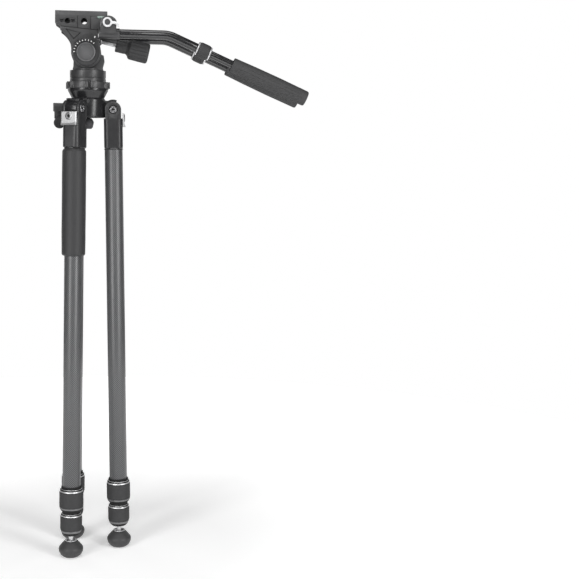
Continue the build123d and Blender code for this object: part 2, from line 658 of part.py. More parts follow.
with BuildPart() as counterbalance_dial:
    with BuildSketch(side_of(AXIS, CHEEK_OUT + 0.1)):
        with Locations((TILT_X, TILT_Z)):
            Circle(REAR_DIAL_R)
            with PolarLocations(FLUTE_RING_R, 12):
                Circle(FLUTE_R, mode=Mode.SUBTRACT)
    extrude(amount=-REAR_DIAL_W)
save(counterbalance_dial, "counterbalance_dial")

SHAFT_IN, SHAFT_OUT, KNOB_START, KNOB_END = -4.8, 31.0, 24.3, 80.0
with BuildPart() as tilt_lock_shaft:
    with BuildSketch(KNOB_FRAME.offset(SHAFT_IN)):
        Circle(KNOB_SHAFT_R)
    extrude(amount=SHAFT_OUT - SHAFT_IN)
save(tilt_lock_shaft, "tilt_lock_shaft")

tilt_lock_knob = turned(KNOB_FRAME, [
    (KNOB_SHAFT_R + GAP / 2, KNOB_START),
    (8.7, KNOB_START),
    (9.7, KNOB_START + 1),
    (9.7, KNOB_START + 16),
    (11.5, KNOB_START + 20.5),
    (15.8, KNOB_START + 23.5),
    (16.4, KNOB_START + 25),
    (16.7, KNOB_END - 2.2),
    (15.4, KNOB_END),
    (0, KNOB_END),
    (0, SHAFT_OUT + 0.5),
    (KNOB_SHAFT_R + GAP / 2, SHAFT_OUT + 0.5),
])
save(tilt_lock_knob, "tilt_lock_knob")


# ---------------------------------------------------------------- camera plate
SCREW_X, SCREW_R, SCREW_HEAD_R, PLATE_WEB = -10.0, 3.1, 7.4, 3.2
with BuildPart() as camera_plate:
    with BuildSketch(Plane.YZ.offset(FRONT_X)):
        with Locations((0, (PLATFORM_TOP + 0.05 + PLATE_TOP) / 2)):
            Rectangle(PLATE_W, PLATE_TOP - PLATFORM_TOP - 0.05)
        with BuildLine():
            Polyline(
                (-TONGUE_HALF, PLATFORM_TOP + 0.1),
                (-TONGUE_HALF - TONGUE_FLARE, PLATFORM_TOP - TONGUE_DEEP),
                (TONGUE_HALF + TONGUE_FLARE, PLATFORM_TOP - TONGUE_DEEP),
                (TONGUE_HALF, PLATFORM_TOP + 0.1),
                close=True,
            )
        make_face()
    extrude(amount=PLATE_REAR_X - FRONT_X)
    fillet(camera_plate.faces().sort_by(Axis.Z)[-1].edges(), 0.6)
    with BuildSketch(Plane.XY.offset(PLATFORM_TOP - TONGUE_DEEP - 1)):
        with Locations((SCREW_X, 0)):
            Circle(SCREW_HEAD_R + 0.5)
    extrude(amount=PLATE_TOP - PLATE_WEB - PLATFORM_TOP + TONGUE_DEEP + 1, mode=Mode.SUBTRACT)
    with BuildSketch(Plane.XY.offset(PLATFORM_TOP)):
        with Locations((SCREW_X, 0)):
            Circle(SCREW_R + GAP)
    extrude(amount=PLATE_TOP, mode=Mode.SUBTRACT)
save(camera_plate, "camera_plate")

HEAD_Z, HEAD_THICK, COIN_SLOT = PLATFORM_TOP - 2.6, 2.5, 1.6
with BuildPart() as camera_screw:
    with BuildSketch(Plane.XY.offset(HEAD_Z)):
        with Locations((SCREW_X, 0)):
            Circle(SCREW_HEAD_R)
    extrude(amount=HEAD_THICK)
    with BuildSketch(Plane.XY.offset(HEAD_Z + HEAD_THICK)):
        with Locations((SCREW_X, 0)):
            Circle(SCREW_R)
    extrude(amount=PLATE_TOP - 0.3 - HEAD_Z - HEAD_THICK)
    with BuildSketch(Plane.XY.offset(HEAD_Z)):
        with Locations((SCREW_X, 0)):
            Rectangle(2 * SCREW_HEAD_R + 1, COIN_SLOT)
    extrude(amount=1.2, mode=Mode.SUBTRACT)
save(camera_screw, "camera_screw")

RELEASE_IN, RELEASE_LENGTH = 20.5, 10.0
with BuildPart() as plate_release:
    with BuildSketch(side_of(AXIS, RELEASE_IN)):
        with Locations((RELEASE_X, PORT_Z)):
            Circle(RELEASE_R)
    extrude(amount=-RELEASE_LENGTH)
    chamfer(plate_release.edges().group_by(Axis.Y)[-1], 1)
save(plate_release, "plate_release")


# ---------------------------------------------------------------- pan bars
HOLDER_HALF, HOLDER_TUBE_R, HOLDER_START_X, HOLDER_END_X = 8.4, 8.6, 17.9, 51.6
LEVER_THICK = 3.3
COLLAR_START, COLLAR_END, BAR_END = 49.5, 73.4, 66.0
INNER_START, INNER_END, GRIP_START, GRIP_END = 12.0, 238.9, 112.5, 247.0


def bar_holder(y):
    """Clamp that turns on the rosette stud and grips the pan bar's straight end."""
    with BuildPart() as holder:
        with BuildSketch(Plane.YZ.offset(HOLDER_START_X)):
            with Locations((y, BAR_Z)):
                Circle(HOLDER_TUBE_R)
        extrude(amount=HOLDER_END_X - HOLDER_START_X)
        with BuildSketch(side_of(AXIS, y + HOLDER_HALF)):
            with BuildLine():
                web = Polyline((46, BAR_Z), (20.5, BAR_Z), (20.5, 889), (24.5, 894))
                crown = ThreePointArc(web @ 1, (36.5, 897), (46.5, 889.5))
                Line(crown @ 1, (46, BAR_Z))
            make_face()
        extrude(amount=2 * HOLDER_HALF)
        with BuildSketch(Plane.YZ.offset(BAR_START_X - 0.2)):
            with Locations((y, BAR_Z)):
                Circle(BAR_R + GAP / 2)
        extrude(amount=HOLDER_END_X, mode=Mode.SUBTRACT)
        with BuildSketch(FRONT):
            with Locations((ROSETTE_X, ROSETTE_Z)):
                Circle(ROSETTE_STUD_R + GAP)
        extrude(amount=3 * BAR_Y, both=True, mode=Mode.SUBTRACT)
    return holder


def rosette_lever(y):
    """Silver clamp ring with a short thumb arm, on the holder's outer face."""
    outward = 1 if y > 0 else -1
    with BuildPart() as lever:
        with BuildSketch(side_of(AXIS, y + outward * (HOLDER_HALF + 0.2))):
            with BuildLine():
                Polyline(
                    (ROSETTE_X, ROSETTE_Z + 2.6),
                    (45.5, ROSETTE_Z + 1.2),
                    (50.2, ROSETTE_Z - 3.0),
                    (50.4, ROSETTE_Z - 6.6),
                    (47.8, ROSETTE_Z - 6.4),
                    (44.5, ROSETTE_Z - 2.8),
                    (ROSETTE_X, ROSETTE_Z - 2.6),
                    close=True,
                )
            make_face()
            with Locations((ROSETTE_X, ROSETTE_Z)):
                Circle(7.7)
                Circle(ROSETTE_STUD_R + GAP, mode=Mode.SUBTRACT)
        extrude(amount=-outward * LEVER_THICK)
    return lever


def outer_bar(y):
    """Bent tube from the holder to the telescoping collar."""
    bend = Vector(BEND_X, y, BAR_Z)
    drop = Vector(cos(radians(BAR_DROP)), 0, -sin(radians(BAR_DROP)))
    with BuildPart() as bar:
        with BuildLine():
            FilletPolyline((BAR_START_X, y, BAR_Z), bend, bend + drop * BAR_END, radius=BEND_R)
        with BuildSketch(Plane(origin=(BAR_START_X, y, BAR_Z), z_dir=(1, 0, 0))):
            Circle(BAR_R)
            Circle(INNER_BAR_R + GAP, mode=Mode.SUBTRACT)
        sweep()
    return bar


def bar_collar(frame):
    """Twist collar that locks the inner bar at its length."""
    return turned(frame, [
        (BAR_R + GAP, COLLAR_START),
        (10.4, COLLAR_START),
        (11.2, COLLAR_START + 1),
        (11.2, COLLAR_START + 2.4),
        (12.4, COLLAR_START + 5.5),
        (12.4, COLLAR_END - 5.5),
        (11.2, COLLAR_END - 2.4),
        (11.2, COLLAR_END - 1),
        (10.4, COLLAR_END),
        (INNER_BAR_R + GAP, COLLAR_END),
        (INNER_BAR_R + GAP, BAR_END + 0.2),
        (BAR_R + GAP, BAR_END + 0.2),
    ])


def grip(frame):
    """Rubber handgrip, closed at its end."""
    return turned(frame, [
        (INNER_BAR_R + GAP / 2, GRIP_START),
        (10.6, GRIP_START),
        (11.6, GRIP_START + 1.5),
        (12.5, GRIP_START + 35),
        (12.9, GRIP_START + 80),
        (12.4, GRIP_END - 2.5),
        (11.2, GRIP_END),
        (0, GRIP_END),
        (0, INNER_END + 0.2),
        (INNER_BAR_R + GAP / 2, INNER_END + 0.2),
    ])


for side, y in {"near": -BAR_Y, "far": BAR_Y}.items():
    bent = sloping(BEND_X, y, BAR_Z, BAR_DROP)
    save(bar_holder(y), f"bar_holder_{side}")
    save(rosette_lever(y), f"rosette_lever_{side}")
    save(outer_bar(y), f"outer_bar_{side}")
    save(bar_collar(bent), f"bar_collar_{side}")
    save(tube(bent, INNER_BAR_R, INNER_BAR_R - 1.2, INNER_END, INNER_START), f"inner_bar_{side}")
    save(grip(bent), f"grip_{side}")
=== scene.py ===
import json
from math import cos, pi, radians, sin, tau

import bmesh
import bpy
from mathutils import Matrix, Vector


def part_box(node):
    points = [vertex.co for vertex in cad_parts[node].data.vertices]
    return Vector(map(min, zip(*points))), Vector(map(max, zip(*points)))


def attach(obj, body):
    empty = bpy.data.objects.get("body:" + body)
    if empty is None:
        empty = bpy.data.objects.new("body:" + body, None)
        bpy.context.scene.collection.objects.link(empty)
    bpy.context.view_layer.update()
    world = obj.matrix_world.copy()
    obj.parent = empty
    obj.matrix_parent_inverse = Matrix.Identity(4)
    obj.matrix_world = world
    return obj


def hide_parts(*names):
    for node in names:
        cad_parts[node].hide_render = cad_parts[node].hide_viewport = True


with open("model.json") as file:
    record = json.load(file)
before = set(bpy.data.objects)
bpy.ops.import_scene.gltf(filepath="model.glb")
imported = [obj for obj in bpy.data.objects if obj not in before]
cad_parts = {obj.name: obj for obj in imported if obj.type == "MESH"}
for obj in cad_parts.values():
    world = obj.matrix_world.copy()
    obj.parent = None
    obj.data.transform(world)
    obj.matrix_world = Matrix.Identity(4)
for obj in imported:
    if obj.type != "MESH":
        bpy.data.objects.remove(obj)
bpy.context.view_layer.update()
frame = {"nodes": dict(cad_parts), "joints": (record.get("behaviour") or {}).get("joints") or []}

# Looks of a folded tripod with a fluid head. Pieces are drawn in millimetres in a frame of their own,
# then moved into the row frame, in metres.

NODES = frame["nodes"]
JOINTS = {joint["name"]: joint for joint in frame["joints"]}
SIDES = ("right", "rear", "left")
BARS = ("near", "far")
MM = 0.001
SHARP_ANGLE = 32  # edges sharper than this many degrees stay crisp, or are rounded off
WELD_REACH = 1e-6  # metres


# ---------------------------------------------------------------- frames
def frame_of(origin, z, x_hint):
    """Matrix from millimetres along x, y, z at origin to the row frame, with x near x_hint."""
    z = Vector(z).normalized()
    y = z.cross(Vector(x_hint)).normalized()
    x = y.cross(z)
    turn = Matrix((x, y, z)).transposed().to_4x4()
    return Matrix.Translation(Vector(origin)) @ turn @ Matrix.Scale(MM, 4)


def leg_frame(side):
    """Frame at a leg's pivot: z up the leg, y along the pivot bolt, x outward."""
    up = -Vector(JOINTS[f"middle_extend_{side}"]["axis"])
    tangent = -Vector(JOINTS[f"leg_spread_{side}"]["axis"])
    return frame_of(JOINTS[f"leg_spread_{side}"]["pos_m"], up, tangent.cross(up))


def along(node, matrix):
    """Lowest z, highest z and largest radius of a CAD node in a frame, in millimetres."""
    inverse = matrix.inverted()
    spots = [inverse @ v.co for v in NODES[node].data.vertices]
    heights = [p.z for p in spots]
    return min(heights), max(heights), max(p.xy.length for p in spots)


LEG = {side: leg_frame(side) for side in SIDES}


# ---------------------------------------------------------------- shader helpers
class Shader:
    """A small helper for building one material's node tree."""

    def __init__(self, name):
        self.material = bpy.data.materials.new(name)
        self.material.use_nodes = True
        self.tree = self.material.node_tree
        self.bsdf = self.tree.nodes["Principled BSDF"]

    def node(self, kind, **values):
        made = self.tree.nodes.new(f"ShaderNode{kind}")
        for key, value in values.items():
            setattr(made, key, value)
        return made

    def link(self, source, target):
        self.tree.links.new(source, target)

    def feed(self, socket, value):
        """Set a socket to a number or colour, or link it to another socket."""
        if isinstance(value, bpy.types.NodeSocket):
            self.link(value, socket)
        elif hasattr(socket.default_value, "__len__") and not hasattr(value, "__len__"):
            socket.default_value = [value] * 3 + [1] * (len(socket.default_value) - 3)
        elif hasattr(value, "__len__") and len(value) == 3 and len(socket.default_value) == 4:
            socket.default_value = (*value, 1)
        else:
            socket.default_value = value

    def set(self, **values):
        for key, value in values.items():
            self.feed(self.bsdf.inputs[key.replace("_", " ")], value)
        return self

    def math(self, operation, a, b=0.0):
        made = self.node("Math", operation=operation)
        for socket, value in zip(made.inputs, (a, b)):
            self.feed(socket, value)
        return made.outputs[0]

    def mix(self, factor, low, high):
        made = self.node("Mix", data_type="RGBA")
        self.feed(made.inputs[0], factor)
        self.feed(made.inputs[6], low)
        self.feed(made.inputs[7], high)
        return made.outputs[2]

    def ramp(self, value, low, high, to_low=0.0, to_high=1.0):
        made = self.node("MapRange", clamp=True)
        for socket, number in zip(made.inputs, (value, low, high, to_low, to_high)):
            self.feed(socket, number)
        return made.outputs[0]

    def place(self, matrix=None, stretch=(1, 1, 1)):
        """Object coordinates in metres, taken into a frame where one is given."""
        spot = self.node("TexCoord").outputs["Object"]
        if matrix is not None:
            turn = self.node("Mapping", vector_type="TEXTURE")
            origin, rotation, _ = matrix.decompose()
            turn.inputs["Location"].default_value = origin
            turn.inputs["Rotation"].default_value = rotation.to_euler()
            self.link(spot, turn.inputs["Vector"])
            spot = turn.outputs[0]
        pull = self.node("Mapping")
        pull.inputs["Scale"].default_value = stretch
        self.link(spot, pull.inputs["Vector"])
        return pull.outputs[0]

    def noise(self, spot, per_metre, detail=4.0, rough=0.6):
        made = self.node("TexNoise")
        self.link(spot, made.inputs["Vector"])
        made.inputs["Scale"].default_value = per_metre
        made.inputs["Detail"].default_value = detail
        made.inputs["Roughness"].default_value = rough
        return made.outputs["Fac"]

    def cells(self, spot, per_metre):
        made = self.node("TexVoronoi")
        self.link(spot, made.inputs["Vector"])
        made.inputs["Scale"].default_value = per_metre
        return made.outputs["Distance"]

    def bump(self, height, depth_mm, strength=1.0):
        made = self.node("Bump")
        made.inputs["Strength"].default_value = strength
        made.inputs["Distance"].default_value = depth_mm * MM
        self.link(height, made.inputs["Height"])
        self.link(made.outputs[0], self.bsdf.inputs["Normal"])

    def edge_wear(self):
        """0 on open faces, rising to 1 on exposed edges."""
        return self.ramp(self.node("NewGeometry").outputs["Pointiness"], 0.52, 0.60)


def coated_metal(name, base, rough, texture_mm, grain=2600):
    """Powder-coated casting: fine texture, slight tone drift and rubbed edges."""
    s = Shader(name)
    spot = s.place()
    drift = s.noise(spot, 28, 3)
    fine = s.noise(spot, grain, 3, 0.7)
    speck = s.mix(s.ramp(fine, 0.35, 0.7), [v * 0.82 for v in base], [v * 1.2 for v in base])
    tone = s.mix(s.ramp(drift, 0.3, 0.7), speck, [v * 1.12 + 0.004 for v in base])
    worn = s.mix(s.math("MULTIPLY", s.edge_wear(), s.ramp(drift, 0.35, 0.75, 0.25, 0.8)), tone,
                 [v * 2.2 + 0.03 for v in base])
    s.set(
        Base_Color=worn,
        Roughness=s.ramp(fine, 0.3, 0.75, rough - 0.05, rough + 0.1),
        Specular_IOR_Level=0.5,
    )
    s.bump(s.math("ADD", fine, s.math("MULTIPLY", s.noise(spot, grain * 0.35, 2), 0.6)), texture_mm, 0.55)
    return s.material


def bright_metal(name, base, rough, along_axis, grain=900, metallic=1.0):
    """Turned or brushed metal with fine directional scratches."""
    s = Shader(name)
    spot = s.place(stretch=along_axis)
    brush = s.noise(spot, grain, 4, 0.7)
    stain = s.noise(s.place(), 120, 3)
    s.set(
        Base_Color=s.mix(s.ramp(brush, 0.3, 0.7), [v * 0.88 for v in base], base),
        Metallic=metallic,
        Roughness=s.math("ADD", s.ramp(brush, 0.3, 0.7, rough - 0.05, rough + 0.07),
                         s.ramp(stain, 0.45, 0.8, 0.0, 0.08)),
    )
    s.bump(brush, 0.012, 0.4)
    return s.material


def rubber(name, base, rough=0.62, grain=1800):
    """Moulded rubber with a fine matte skin and a little dust."""
    s = Shader(name)
    spot = s.place()
    skin = s.noise(spot, grain, 4, 0.65)
    dust = s.noise(spot, 60, 5, 0.7)
    tone = s.mix(s.ramp(skin, 0.3, 0.75), [v * 0.85 for v in base], [v * 1.18 for v in base])
    s.set(
        Base_Color=s.mix(s.ramp(dust, 0.52, 0.85, 0.0, 0.35), tone, [v * 1.5 + 0.01 for v in base]),
        Roughness=s.ramp(skin, 0.3, 0.75, rough - 0.06, rough + 0.1),
        Specular_IOR_Level=0.35,
    )
    s.bump(skin, 0.05, 0.5)
    return s.material


def foam(name, base):
    """Closed-cell foam: open pores in a matte skin, the pores painted darker as painted shade in them."""
    s = Shader(name)
    spot = s.place()
    pores = s.cells(spot, 900)
    soft = s.noise(spot, 90, 4)
    skin = s.mix(soft, base, [v * 1.25 for v in base])
    # the pores are painted darker than the skin: painted shade in the pits
    s.set(
        Base_Color=s.mix(s.ramp(pores, 0.1, 0.5), [v * 0.7 for v in base], skin),
        Roughness=0.58,
        Specular_IOR_Level=0.55,
        Sheen_Weight=0.10,
        Sheen_Roughness=0.5,
    )
    s.bump(s.math("ADD", s.ramp(pores, 0.0, 0.35), s.math("MULTIPLY", soft, 0.8)), 0.10, 0.6)
    return s.material


TUBE_R, TOW = 15, 1.8  # the largest tube and one carbon tow, in millimetres


def carbon(name, matrix):
    """Plain-woven carbon tube under a satin clear coat, wound about the frame's z axis. Warp tows are painted
    lighter than weft tows as a painted sheen, and each tow darkens to near black at its edges as painted
    shade between the tows.
    """
    s = Shader(name)
    spot = s.node("SeparateXYZ")
    s.link(s.place(matrix), spot.inputs[0])
    x, y, z = spot.outputs
    tows_round = round(tau * TUBE_R / TOW / 2) * 2
    u = s.math("MULTIPLY", s.math("ARCTAN2", y, x), tows_round / tau)
    v = s.math("MULTIPLY", z, 1 / (TOW * MM))
    step = s.math("FLOORED_MODULO", s.math("ADD", s.math("FLOOR", u), s.math("FLOOR", v)), 2.0)
    over = s.math("LESS_THAN", step, 0.5)
    across_u = s.math("ABSOLUTE", s.math("SUBTRACT", s.math("FRACT", u), 0.5))
    across_v = s.math("ABSOLUTE", s.math("SUBTRACT", s.math("FRACT", v), 0.5))
    across = s.math("ADD", s.math("MULTIPLY", over, across_u),
                    s.math("MULTIPLY", s.math("SUBTRACT", 1.0, over), across_v))
    crown = s.math("SUBTRACT", 1.0, s.math("POWER", s.math("MULTIPLY", across, 2.0), 2.0))
    fibre = s.noise(s.place(matrix, (1, 1, 0.2)), 5200, 2)
    # warp tows painted lighter than weft tows: a painted sheen, lit and shaded tones of the same fibres
    warp_lit_tone = s.mix(fibre, (0.088, 0.090, 0.093), (0.135, 0.137, 0.141))
    weft_shaded_tone = s.mix(fibre, (0.024, 0.024, 0.025), (0.045, 0.046, 0.048))
    # the colour darkens to near black towards each tow's edge: painted shade in the creases between tows;
    # crown also drives the real bump
    s.set(
        Base_Color=s.mix(s.ramp(crown, 0.0, 0.45), (0.006, 0.006, 0.007), s.mix(over, weft_shaded_tone, warp_lit_tone)),
        Roughness=s.math("ADD", s.math("MULTIPLY", over, -0.06), 0.44),
        Coat_Weight=0.4,
        Coat_Roughness=0.32,
    )
    s.bump(crown, 0.04, 0.3)
    return s.material


def gloss_bar(name, base):
    """Gloss black anodised tube with hairline handling marks."""
    s = Shader(name)
    scratch = s.noise(s.place(stretch=(1, 30, 30)), 260, 5, 0.75)
    haze = s.noise(s.place(), 45, 3)
    s.set(
        Base_Color=s.mix(s.ramp(scratch, 0.66, 0.82, 0, 0.5), base, [v * 3 + 0.01 for v in base]),
        Roughness=s.ramp(haze, 0.3, 0.7, 0.20, 0.30),
        Specular_IOR_Level=0.7,
        Coat_Weight=0.35,
        Coat_Roughness=0.12,
    )
    s.bump(scratch, 0.006, 0.3)
    return s.material


def paint(name, base, rough=0.5):
    """Printed or filled mark, slightly uneven."""
    s = Shader(name)
    grain = s.noise(s.place(), 2200, 3)
    s.set(Base_Color=s.mix(grain, [v * 0.9 for v in base], base), Roughness=rough)
    s.bump(grain, 0.01, 0.3)
    return s.material


def liquid(name):
    """Pale green spirit behind clear plastic."""
    s = Shader(name)
    drift = s.noise(s.place(), 300, 2)
    s.set(Base_Color=s.mix(drift, (0.20, 0.27, 0.24), (0.28, 0.36, 0.32)), Roughness=0.12, Coat_Weight=0.8,
          Coat_Roughness=0.03)
    return s.material


MAT = {
    "casting": coated_metal("casting_coat", (0.020, 0.020, 0.021), 0.34, 0.03),
    "lug": coated_metal("lug_coat", (0.011, 0.011, 0.012), 0.26, 0.03),
    "head": coated_metal("head_coat", (0.031, 0.031, 0.032), 0.42, 0.05, 2400),
    "plate": coated_metal("plate_coat", (0.038, 0.038, 0.039), 0.46, 0.05, 2400),
    "satin": coated_metal("satin_black", (0.009, 0.009, 0.010), 0.30, 0.02),
    "hub": coated_metal("hub_satin", (0.030, 0.030, 0.031), 0.36, 0.02),
    "dial": coated_metal("dial_black", (0.011, 0.011, 0.012), 0.34, 0.02),
    "cap": coated_metal("cap_grey", (0.052, 0.052, 0.054), 0.34, 0.02),
    "silver": bright_metal("silver_anodised", (0.70, 0.70, 0.71), 0.40, (60, 60, 1), 900, 0.75),
    "lever": bright_metal("lever_satin", (0.72, 0.72, 0.73), 0.36, (60, 60, 1), 900, 0.35),
    "screw": bright_metal("screw_steel", (0.34, 0.34, 0.345), 0.34, (1, 1, 1), 1600),
    "hem": bright_metal("hem_anodised", (0.24, 0.24, 0.245), 0.36, (60, 60, 1)),
    "tab": bright_metal("tab_satin", (0.60, 0.60, 0.605), 0.48, (60, 60, 1)),
    "steel": bright_metal("turned_steel", (0.62, 0.62, 0.63), 0.22, (1, 1, 1), 1600),
    "rubber": rubber("ribbed_rubber", (0.033, 0.033, 0.034)),
    "foot": rubber("foot_rubber", (0.046, 0.046, 0.047), 0.50, 1500),
    "grip": rubber("grip_rubber", (0.042, 0.042, 0.043), 0.66, 2200),
    "knob": rubber("knob_rubber", (0.030, 0.030, 0.031), 0.58, 2000),
    "foam": foam("sleeve_foam", (0.017, 0.017, 0.018)),
    "bar": gloss_bar("gloss_black", (0.012, 0.012, 0.013)),
    "white": paint("white_fill", (0.85, 0.85, 0.84)),
    # near-black for real black parts and printed lines, and as painted shade in sockets, grooves and at the
    # casting joint
    "dark": paint("black_and_painted_shade", (0.003, 0.003, 0.003), 0.8),
    "liquid": liquid("vial_liquid"),
    "bubble": paint("bubble_pale", (0.52, 0.60, 0.55), 0.15),
}
for side in SIDES:
    MAT[f"carbon_{side}"] = carbon(f"carbon_weave_{side}", LEG[side])


# ---------------------------------------------------------------- mesh helpers
def piece(name, verts, faces, matrix, body, material, sharp=SHARP_ANGLE, merge=0.0):
    """An object from millimetre vertices, smooth except at sharp edges, riding on a body."""
    mesh = bpy.data.meshes.new(name)
    mesh.from_pydata(verts, [], faces)
    work = bmesh.new()
    work.from_mesh(mesh)
    if merge:
        bmesh.ops.remove_doubles(work, verts=work.verts, dist=merge)
        bmesh.ops.dissolve_degenerate(work, edges=work.edges, dist=merge / 4)
    bmesh.ops.recalc_face_normals(work, faces=work.faces)
    work.to_mesh(mesh)
    work.free()
    mesh.transform(matrix)
    mesh.shade_smooth()
    mesh.set_sharp_from_angle(angle=radians(sharp))
    mesh.materials.append(MAT[material])
    made = bpy.data.objects.new(name, mesh)
    bpy.context.scene.collection.objects.link(made)
    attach(made, body)
    return made


def rounded(profile, radius, steps):
    """An open outline with its inner corners rounded."""
    points = [Vector(p) for p in profile]
    out = [points[0]]
    for before, corner, after in zip(points, points[1:], points[2:]):
        back, ahead = before - corner, after - corner
        start = corner + back * min(radius / back.length, 0.45)
        end = corner + ahead * min(radius / ahead.length, 0.45)
        for i in range(steps + 1):
            t = i / steps
            out.append(start * (1 - t) ** 2 + corner * 2 * t * (1 - t) + end * t ** 2)
    return out + [points[-1]]


def finer(profile, step):
    """The same outline with no run longer than step."""
    points = [Vector(p) for p in profile]
    out = [points[0]]
    for a, b in zip(points, points[1:]):
        cuts = max(1, round((b - a).length / step))
        out += [a.lerp(b, i / cuts) for i in range(1, cuts + 1)]
    return out


MERGE = 1e-4  # millimetres


def lathe(name, matrix, profile, body, material, segments=96, shape=None, sharp=SHARP_ANGLE):
    """Turn an (r, z) outline about z; shape(angle, r, z) gives the radius at each point."""
    rows = [Vector(p) for p in profile]
    verts, faces = [], []
    for r, z in rows:
        for k in range(segments):
            angle = tau * k / segments
            radius = shape(angle, r, z) if shape else r
            verts.append((radius * cos(angle), radius * sin(angle), z))
    for i in range(len(rows) - 1):
        for k in range(segments):
            n = (k + 1) % segments
            faces.append((i * segments + k, i * segments + n, (i + 1) * segments + n, (i + 1) * segments + k))
    if rows[0] == rows[-1]:
        last = (len(rows) - 1) * segments
        verts = verts[:last]
        faces = [tuple(v % last for v in face) for face in faces]
    return piece(name, verts, faces, matrix, body, material, sharp, merge=MERGE)


def plate(name, matrix, outline, holes, depth, body, material, edge):
    """A flat plate with holes: outline in x, y of the frame, thickness along z, softened edges."""
    curve = bpy.data.curves.new(name, "CURVE")
    curve.dimensions = "2D"
    curve.fill_mode = "BOTH"
    curve.extrude = depth / 2 - edge
    curve.bevel_depth = edge
    curve.bevel_resolution = 2
    curve.offset = -edge
    for loop in [outline, *holes]:
        line = curve.splines.new("POLY")
        line.points.add(len(loop) - 1)
        for point, (x, y) in zip(line.points, loop):
            point.co = (x, y, 0, 1)
        line.use_cyclic_u = True
    source = bpy.data.objects.new(name, curve)
    bpy.context.scene.collection.objects.link(source)
    mesh = bpy.data.meshes.new_from_object(source)
    bpy.data.objects.remove(source)
    verts = [tuple(v.co) for v in mesh.vertices]
    faces = [tuple(p.vertices) for p in mesh.polygons]
    bpy.data.meshes.remove(mesh)
    return piece(name, verts, faces, matrix, body, material, merge=MERGE)


def round_loop(x, y, radius, count=40, start=0.0, sweep=tau):
    """Points round a circle or an arc."""
    steps = count if sweep == tau else count + 1
    return [(x + radius * cos(start + sweep * i / count), y + radius * sin(start + sweep * i / count))
            for i in range(steps)]


def rounded_box(x0, x1, y0, y1, radius, steps=5):
    """Outline of a rectangle with round corners."""
    corners = ((x1, y1, 0), (x0, y1, pi / 2), (x0, y0, pi), (x1, y0, -pi / 2))
    out = []
    for x, y, start in corners:
        cx = x - radius if x == x1 else x + radius
        cy = y - radius if y == y1 else y + radius
        out += round_loop(cx, cy, radius, steps, start, pi / 2)
    return out


def weld_facets(made):
    """Join the separate facets of an object that comes from the CAD."""
    made.modifiers.new("weld", "WELD").merge_threshold = WELD_REACH


def round_edges(made, width):
    """Round an object's sharp edges by width, in millimetres."""
    bevel = made.modifiers.new("edges", "BEVEL")
    bevel.width = width * MM
    bevel.segments = 2
    bevel.limit_method = "ANGLE"
    bevel.angle_limit = radians(SHARP_ANGLE)
    bevel.harden_normals = True


def finish_node(node, material, width):
    """Give a CAD node its material and rounded edges; its own vertices are left alone."""
    made = NODES[node]
    made.data.materials.clear()
    made.data.materials.append(MAT[material])
    weld_facets(made)
    round_edges(made, width)
    made.data.shade_smooth()


# ---------------------------------------------------------------- carried-over CAD nodes
FINISH = {
    "spider": ("lug", 0.5),
    "accessory_block": ("casting", 0.5),
    "accessory_knob": ("dial", 0.3),
    "level_lock_ring": ("hub", 0.35),
    "brake_cup": ("satin", 0.15),
    "level_ball": ("satin", 0.15),
    "head_base_plate": ("hub", 0.3),
    "pan_housing": ("hub", 0.3),
    "pan_lock_knob": ("dial", 0.8),
    "tilt_saddle": ("head", 0.8),
    "tilt_axle": ("steel", 0.3),
    "tilt_platform": ("head", 0.45),
    "tilt_cheek_near": ("head", 0.45),
    "tilt_cheek_far": ("head", 0.45),
    "tilt_bridge": ("steel", 0.3),
    "bubble_level": ("liquid", 0.2),
    "counterbalance_dial": ("dial", 0.6),
    "tilt_lock_shaft": ("silver", 0.2),
    "camera_screw": ("steel", 0.2),
    "plate_release": ("silver", 0.2),
}
for side in SIDES:
    FINISH[f"leg_casting_{side}"] = ("casting", 0.8)
    FINISH[f"upper_tube_{side}"] = (f"carbon_{side}", 0.15)
    FINISH[f"middle_tube_{side}"] = (f"carbon_{side}", 0.15)
for bar in BARS:
    FINISH[f"bar_holder_{bar}"] = ("casting", 0.7)
    FINISH[f"rosette_lever_{bar}"] = ("lever", 0.4)
    FINISH[f"outer_bar_{bar}"] = ("bar", 0.15)
    FINISH[f"inner_bar_{bar}"] = ("bar", 0.15)
for node, (material, width) in FINISH.items():
    finish_node(node, material, width)


# ---------------------------------------------------------------- legs
KNURL_COUNT, KNURL_DEEP, KNURL_PITCH = 84, 0.22, 1.5


def knurled(angle, r, z):
    """Fine crossed knurls all round."""
    crossed = cos(KNURL_COUNT * angle) * cos(tau * z / KNURL_PITCH)
    return r - KNURL_DEEP * (0.5 - 0.5 * crossed)


# waist is a radius; neck is below the top end; bevel is a height; band_low and hem are above the low end;
# band_in, hem_in and end_in are the radius lost at each
LOCKS = {
    "upper": {"waist": 16.9, "neck": 3.4, "bevel": 4.8, "band_low": 6.2, "hem": 3.0,
              "band_in": 0.15, "hem_in": 1.0, "end_in": 2.9},
    "lower": {"waist": 15.6, "neck": 4.6, "bevel": 4.3, "band_low": 9.0, "hem": 5.2,
              "band_in": 0.5, "hem_in": 1.7, "end_in": 6.2},
}
LOCK_SEGMENTS, BAND_SEGMENTS = 96, 336


